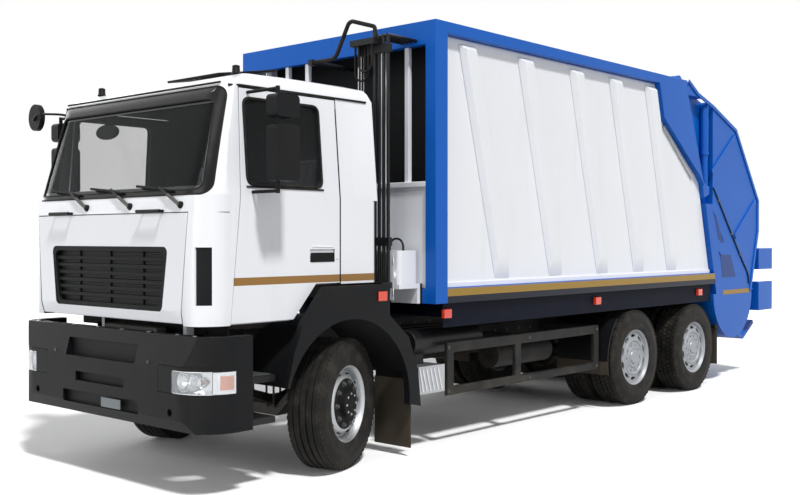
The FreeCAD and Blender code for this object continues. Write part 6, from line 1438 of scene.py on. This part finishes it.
stepTread = {"place": (4.06, 1.02, 0.8185), "half": (0.006, 0.10), "high": 0.006, "count": 8, "pitch": 0.03}
guardBolt = {"x": -0.40, "y": 1.15, "z": (0.478, 0.856), "count": 3, "pitch": 1.22, "radius": 0.012}
airLine = {"places": ((0.446, 0.93), (0.446, 0.955), (0.450, 0.98)), "bend": 0.3, "radius": 0.0085,
           "route": [(-2.3, 0), (-0.6, 0.004), (0.6, -0.006), (1.4, 0), (2.2, 0.01)]}


def boltPlaces(values):
    # where each row of bolts starts on both sides of the truck
    return [Matrix.Translation((values["x"], side * values["y"], z)) @ facingOut(side)
            for side in (1, -1) for z in values["z"]]


def boltRows(name, values, tone="iron"):
    boltRow(name, boltPlaces(values), values["count"], values["pitch"], values["radius"], tone)


def linerAndShadeSheets():
    # dark plates between wheels and bumper, over the mud flaps and on the body's crossbeam: liners in part,
    # painted shade in part
    form = Form()
    for side in (1, -1):
        form.prism(splash["outline"], *across(side, *splash["y"]), "Y", finish["dark"])
        x0, x1 = splash["ribX"]
        y0, y1 = across(side, *splash["ribY"])
        for z0, z1 in splash["ribZ"]:
            form.box((x0, y0, z0), (x1, y1, z1), finish["dark"])
        form.box(*zip(splash["flapX"], across(side, *splash["flapY"]), splash["flapZ"]), finish["dark"])
    form.box(*splash["beam"], finish["dark"])
    form.done("splash_plates", "chassis", "black_plastic", 0.001)


def springClips():
    # the U bolts and nuts that hold the front springs' leaves
    form = Form()
    low, high = clip["z"]
    for side in (1, -1):
        y = side * clip["y"]
        for x in (axle["front"] - clip["reach"], axle["front"] + clip["reach"]):
            edges = (y - clip["edge"], y + clip["edge"])
            for edge in edges:
                form.tube([(x, edge, low), (x, edge, high)], clip["radius"], finish["iron"])
            for edge in edges:
                form.turned(clip["nut"], (x, edge, clip["nutZ"]), "Z", finish["iron"], 6)
    form.done("spring_clips", "chassis", "cast_iron")


def outletCover():
    # the outlet's cover, with slanted pressed ribs
    form = Form()
    (x0, x1), y, (z0, z1) = outlet["x"], outlet["y"], outlet["z"]
    form.box((x0 - 0.002, y - 0.004, z0 - 0.002), (x1 + 0.002, y - 0.0003, z1 + 0.002), finish["alloy"])
    low, high, wide = z0 + outletRib["inset"], z1 - outletRib["inset"], outletRib["wide"]
    for index in range(outletRib["count"]):
        foot = x0 + outletRib["first"] + index * outletRib["pitch"]
        top = min(foot + outletRib["slant"], x1 - outletRib["inset"])
        outline = [(foot, low), (foot + wide, low), (top + wide, high), (top, high)]
        form.prism(outline, y - 0.001, y + 0.006, "Y", finish["bright"])
    form.done("outlet_cover", "chassis", "bright_steel", 0.002)


def tankFittings():
    # three straps round the tank, its filler cap and the cap's latch
    form = Form()
    (x0, x1), (y0, y1), (z0, z1) = tank["x"], tank["y"], tank["z"]
    thick, corner = tank["strapThick"], tank["strapCorner"]
    outline = [(y0 - thick, z0 + corner), (y0 + corner, z0 - thick), (y1 - corner, z0 - thick),
               (y1 + thick, z0 + corner), (y1 + thick, z1 - corner), (y1 - corner, z1 + thick),
               (y0 + corner, z1 + thick), (y0 - thick, z1 - corner)]
    for x in (x0 + tank["strapInset"], (x0 + x1) / 2, x1 - tank["strapInset"]):
        form.prism(outline, x - tank["strapHalf"], x + tank["strapHalf"], "X", finish["steelBlack"])
    x = x1 - tank["capBehind"]
    form.turned(tank["cap"], (x, y0 + tank["capInset"], z1 - 0.002), "Z", finish["dark"], 32)
    form.tube([(x, y0 + y, z1 + z) for y, z in tank["latch"]], tank["latchRadius"], finish["bright"])
    form.done("tank_fittings", "chassis", "chassis_black", 0.003)


def stepTreads():
    item = Form()
    halfX, halfY = stepTread["half"]
    item.box((-halfX, -halfY, 0.0), (halfX, halfY, stepTread["high"]), None)
    places = [Matrix.Translation(place) for side in (1, -1) for place in sided(side, [stepTread["place"]])]
    treads = repeated(rowTree, itemMesh(item), finish["alloy"], places, stepTread["count"],
                      step=(stepTread["pitch"], 0, 0))
    placed("step_treads", treads, "chassis")


def airLines():
    # air lines and wiring along the rails, behind the side guards
    form = Form()
    for y, z in airLine["places"]:
        for side in (1, -1):
            route = [(x, side * y, z + rise) for x, rise in airLine["route"]]
            form.tube(roundedLine(route, airLine["bend"]), airLine["radius"], finish["seal"])
    form.done("rail_lines", "chassis", "hose_rubber")


boltRows("rail_bolts", railBolt)
linerAndShadeSheets()
springClips()
outletCover()
tankFittings()
stepTreads()
boltRows("guard_bolts", guardBolt)
airLines()
print("chassis fitted out")


# Load body

# above its foot, the wall behind the posts is painted dark as shade inside the body
bulkhead = {"x": 1.99, "foot": 2.26}
crossbeam = {"x": 2.16, "half": 1.10, "top": 1.50}
panel = {"skin": (1.135, 1.18), "z": (1.43, 3.50), "lean": -0.54, "half": (0.12, 0.07), "proud": 1.244,
         "ends": (0.20, 0.045), "ribs": (1.8425, 0.9625, 0.0825, -0.6825, -1.4475),
         "outline": [(2.1775, 1.30), (2.1775, 3.54), (-2.2375, 3.54), (-2.6825, 2.44), (-2.9925, 1.30)],
         "lip": ((-2.955, 2.17), (1.179, 1.192), (1.380, 1.424)),
         "slant": [(-1.7395, 3.128), (-2.4895, 2.547)], "slantFrom": 0.05, "strip": (0.004, 0.050),
         "stripY": (1.179, 1.204)}


def sidePanel(hand, side):
    # the white sheet with its leaning pressed ribs
    form = Form()
    inner, outer = panel["skin"]
    low, high = panel["z"]
    base, face = panel["half"]
    foot, head = panel["ends"]
    form.prism(panel["outline"], *across(side, inner, outer), "Y", finish["white"])
    levels = ((low, high, base, outer - 0.001), (low + foot, high - head, face, panel["proud"]))
    for top in panel["ribs"]:
        points = []
        for z0, z1, half, y in levels:
            for z, edge in ((z0, -half), (z0, half), (z1, half), (z1, -half)):
                middle = top + panel["lean"] * (high - z) / (high - low)
                points.append((middle + edge, side * y, z))
        sides = [(3, 2, 1, 0), (4, 5, 6, 7), (0, 1, 5, 4), (1, 2, 6, 5), (2, 3, 7, 6), (3, 0, 4, 7)]
        form.add(points, sides, finish["white"])
    piece = form.done(f"side_panel_{hand}", "chassis", "white", 0.014, 3)
    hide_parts(f"body_side_{hand}")


def panelTrim(hand, side):
    # the lip along the panel's foot and the pale strip under the slanted plate
    form = Form()
    x, y, z = panel["lip"]
    form.box(*zip(x, across(side, *y), z), finish["white"])
    start, end = (Vector(point) for point in panel["slant"])
    along = (end - start).normalized()
    down = Vector((along.y, -along.x))
    if down.y > 0:
        down = -down
    start = start + along * panel["slantFrom"]
    near, far = panel["strip"]
    outline = [start + down * near, end + down * near, end + down * far, start + down * far]
    form.prism([tuple(point) for point in outline], *across(side, *panel["stripY"]), "Y", finish["alloy"])
    form.done(f"panel_trim_{hand}", "chassis", "white", 0.003)


def wallShadeFinish(face):
    # 1 on the wall that shows between the posts, painted dark as shade inside the body
    middle = face.calc_center_median()
    return 1 if middle.x < bulkhead["x"] and middle.z > bulkhead["foot"] else 0


def frameFinish(face):
    # 1 on the dark crossbeam low between the front pillars
    middle = face.calc_center_median()
    between = middle.x > crossbeam["x"] and abs(middle.y) < crossbeam["half"]
    return 1 if between and middle.z < crossbeam["top"] else 0


dressed("body_subframe", [finish["navy"]], 0.004)
dressed("body_frame", [finish["frameBlue"], finish["navy"]], 0.003, frameFinish)
for hand, side in (("left", 1), ("right", -1)):
    sidePanel(hand, side)
    panelTrim(hand, side)
# the wall between the posts gets painted shade
dressed("body_front_wall", [finish["white"], finish["dark"]], 0.005, wallShadeFinish)
dressed("pipe_rack", [finish["steelBlack"]], 0.002)
dressed("hoses", [finish["seal"]], 0.0)
dressed("ram_feet", [finish["blue"]], 0.004)
dressed("control_box", [finish["white"]], 0.006)
dressed("marker_lamps", [finish["marker"]], 0.004)
dressed("ejector_plate", [finish["grey"]], 0.006)
print("body dressed")


# Body fittings

hinge = {"x": -2.2625, "y": 1.131, "z": 3.64, "cap": [(0, 0.030), (0.004, 0.030), (0.006, 0.026)]}
controlBox = {"x": 2.652, "y": (0.80, 1.062), "z": (1.29, 1.685), "catch": (0.825, 1.50),
              "catchProfile": [(0, 0.014), (0.006, 0.014), (0.008, 0.011)],
              "hingeY": 1.058, "hingeZ": (1.36, 1.62), "hingeHalf": 0.025, "hingeRadius": 0.006}
sillBolt = {"x": -2.80, "y": 1.205, "z": (1.275,), "count": 14, "pitch": 0.38, "radius": 0.010}
roofBolt = {"x": -2.10, "y": 1.20, "z": 3.6395, "count": 20, "pitch": 0.22, "radius": 0.009}


def hingeCaps():
    form = Form()
    for side in (1, -1):
        cap = [(side * out, radius) for out, radius in hinge["cap"]]
        form.turned(cap, (hinge["x"], side * hinge["y"], hinge["z"]), "Y", finish["iron"], 24)
    form.done("hinge_pin_caps", "chassis", "cast_iron")


def boxFittings():
    # the control box's door, its catch and its hinges
    form = Form()
    x, (y0, y1), (z0, z1) = controlBox["x"], controlBox["y"], controlBox["z"]
    form.box((x - 0.001, y0, z0), (x + 0.003, y1, z1), finish["white"])
    form.turned(controlBox["catchProfile"], (x + 0.002, *controlBox["catch"]), "X", finish["bright"], 20)
    y, half = controlBox["hingeY"], controlBox["hingeHalf"]
    for z in controlBox["hingeZ"]:
        pin = [(x + 0.004, y, z - half), (x + 0.004, y, z + half)]
        form.tube(pin, controlBox["hingeRadius"], finish["bright"], 10)
    form.done("control_box_door", "chassis", "white", 0.002)


def roofBolts():
    places = [Matrix.Translation((roofBolt["x"], side * roofBolt["y"], roofBolt["z"])) for side in (1, -1)]
    boltRow("roof_bolts", places, roofBolt["count"], roofBolt["pitch"], roofBolt["radius"], "blue")


hingeCaps()
boxFittings()
boltRows("sill_bolts", sillBolt, "iron")
roofBolts()
print("body fitted out")


# Tailgate

gate = {"outline": [(-2.30, 3.66), (-2.5425, 3.53), (-2.9425, 3.42), (-3.6025, 3.18), (-4.2925, 2.30),
                    (-4.2925, 1.90), (-4.0525, 1.12)],
        "rim": 0.045, "skin": 1.235, "proud": 1.2495,
        "stripe": [(-4.0125, 1.105), (-3.2325, 1.105), (-3.2325, 1.160), (-4.0125, 1.160)],
        # the outlines of the shade in the sides' pressed recesses, painted in a darker blue
        "pocketShadows": [[(-2.985, 2.10), (-3.03, 2.09), (-3.235, 1.757), (-3.20, 1.745), (-3.10, 1.80)],
                    [(-3.16, 1.60), (-3.45, 1.60), (-3.60, 1.32), (-3.22, 1.32)]],
        "bar": [(-4.290, 1.19, 1.915), (-4.352, 1.19, 1.905), (-4.362, 1.19, 1.80), (-4.352, 1.19, 1.71),
                (-4.285, 1.19, 1.70)], "barBend": 0.03, "barRadius": 0.011}
gateLine = {"route": [(-2.94, 2.42), (-3.36, 1.965), (-3.80, 1.50), (-3.95, 1.36), (-3.99, 1.22)],
            "shifts": (0.0, 0.016), "bend": 0.08, "radius": 0.0055, "y": 1.242,
            "clips": ((-3.10, 2.26), (-3.47, 1.86), (-3.72, 1.595)), "clipX": (-0.035, 0.025),
            "clipY": (1.234, 1.2495), "clipHalf": 0.012}
tailLamp = {"x": (-4.7575, -4.3175), "y": (1.095, 1.235), "wall": 0.006, "sunk": 0.016, "gap": 0.004,
            "boxes": (((1.395, 1.672), ("red", "amber")), ((0.855, 1.232), ("red", "amber", "clear"))),
            "round": [(-0.0005, 0.044), (-0.003, 0.042), (-0.0045, 0.030), (-0.0050, 0.002)],
            "bead": (0.02, 0.01, 0.012, 0.020)}
stripePaint = paint("ochrePaint", stripes["sill"][2], look=deepLook)


def offsetLine(points, width):
    # the same line moved inwards by a width, its corners mitred
    line = [Vector(point) for point in points]
    result = []
    for index, point in enumerate(line):
        before = (point - line[index - 1]).normalized() if index else None
        after = (line[index + 1] - point).normalized() if index + 1 < len(line) else None
        sides = [Vector((-step.y, step.x)) for step in (before, after) if step]
        middle = sum(sides, Vector((0, 0))).normalized()
        result.append(point + middle * width / max(0.5, middle.dot(sides[0])))
    return result


def gateRims():
    # the raised rim along the back edge of each side
    form = Form()
    inner = offsetLine(gate["outline"], gate["rim"])
    outline = gate["outline"] + [tuple(point) for point in reversed(inner)]
    for side in (1, -1):
        form.prism(outline, *across(side, gate["skin"] - 0.001, gate["proud"]), "Y", finish["blue"])
    form.done("tailgate_rims", "tailgate", "blue", 0.004)


def gatePlates():
    # the stripe, the painted shade in the two pressed recesses and the grab handle on each side
    form = Form()
    for side in (1, -1):
        low, high = across(side, gate["skin"] - 0.001, gate["skin"] + 0.0022)
        form.prism(gate["stripe"], low, high, "Y", stripePaint)
        for pocket in gate["pocketShadows"]:
            # the shade in each recess, painted as a darker blue plate
            form.prism(pocket, low, high, "Y", finish["pocketShadeBlue"])
        bar = roundedLine(sided(side, gate["bar"]), gate["barBend"])
        form.tube(bar, gate["barRadius"], finish["bright"], 10)
    form.done("tailgate_fittings", "tailgate", "blue")


def gateLines():
    # two hydraulic lines down each side, with their clips
    form = Form()
    half = gateLine["clipHalf"]
    back, front = gateLine["clipX"]
    for side in (1, -1):
        for shift in gateLine["shifts"]:
            route = [(x - shift, side * gateLine["y"], z) for x, z in gateLine["route"]]
            form.tube(roundedLine(route, gateLine["bend"]), gateLine["radius"], finish["seal"])
        y0, y1 = across(side, *gateLine["clipY"])
        for x, z in gateLine["clips"]:
            form.box((x + back, y0, z - half), (x + front, y1, z + half), finish["iron"])
    form.done("tailgate_lines", "tailgate", "hose_rubber")


def lampBox(form, side, z0, z1, tones):
    # a box open to the back, with a square of ribbed lens and a round lens for each lamp in it
    (x0, x1), (y0, y1) = tailLamp["x"], across(side, *tailLamp["y"])
    wall, gap = tailLamp["wall"], tailLamp["gap"]
    back = x0 + tailLamp["sunk"]
    form.box((back, y0, z0), (x1, y1, z1), finish["blue"])
    for walls in ((y0, y0 + wall, z0, z1), (y1 - wall, y1, z0, z1), (y0 + wall, y1 - wall, z0, z0 + wall),
                  (y0 + wall, y1 - wall, z1 - wall, z1)):
        form.box((x0, walls[0], walls[2]), (back + 0.001, walls[1], walls[3]), finish["blue"])
    height = (z1 - z0 - 2 * wall - 2 * gap) / len(tones)
    for place, tone in enumerate(tones):
        low = z0 + wall + gap + place * height
        form.box((back - 0.009, y0 + wall + 0.003, low + 0.003),
                 (back - 0.0005, y1 - wall - 0.003, low + height - 0.003), finish[tone])
        middle = (back - 0.0085, (y0 + y1) / 2, low + height / 2)
        form.turned(tailLamp["round"], middle, "X", finish[tone], 28)
    # a pressed bead along the box's outer side
    behind, ahead, foot, top = tailLamp["bead"]
    first, last = x0 + behind, x1 - ahead
    outline = [(first, z0 + foot), (last, z0 + foot), (last, z0 + top), (first, z0 + top)]
    out = tailLamp["y"][1]
    form.prism(outline, *across(side, out - 0.001, out + 0.002), "Y", finish["blue"])


def tailLamps():
    form = Form()
    for side in (1, -1):
        for (z0, z1), tones in tailLamp["boxes"]:
            lampBox(form, side, z0, z1, tones)
    piece = form.done("tail_lamps", "tailgate", "red_plastic", 0.0015)
    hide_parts("tail_lamp_boxes")


dressed("tailgate_shell", [finish["blue"]], 0.004)
dressed("packer_carriage", [finish["blue"]], 0.006)
dressed("packer_blade", [finish["blue"]], 0.006)
dressed("bin_lifter", [finish["blue"]], 0.006)
for hand in ("left", "right"):
    dressed(f"lift_barrel_{hand}", [finish["blue"]], 0.003)
    dressed(f"lift_rod_{hand}", [finish["bright"]], 0.002)
gateRims()
gatePlates()
gateLines()
tailLamps()
print("tailgate made")
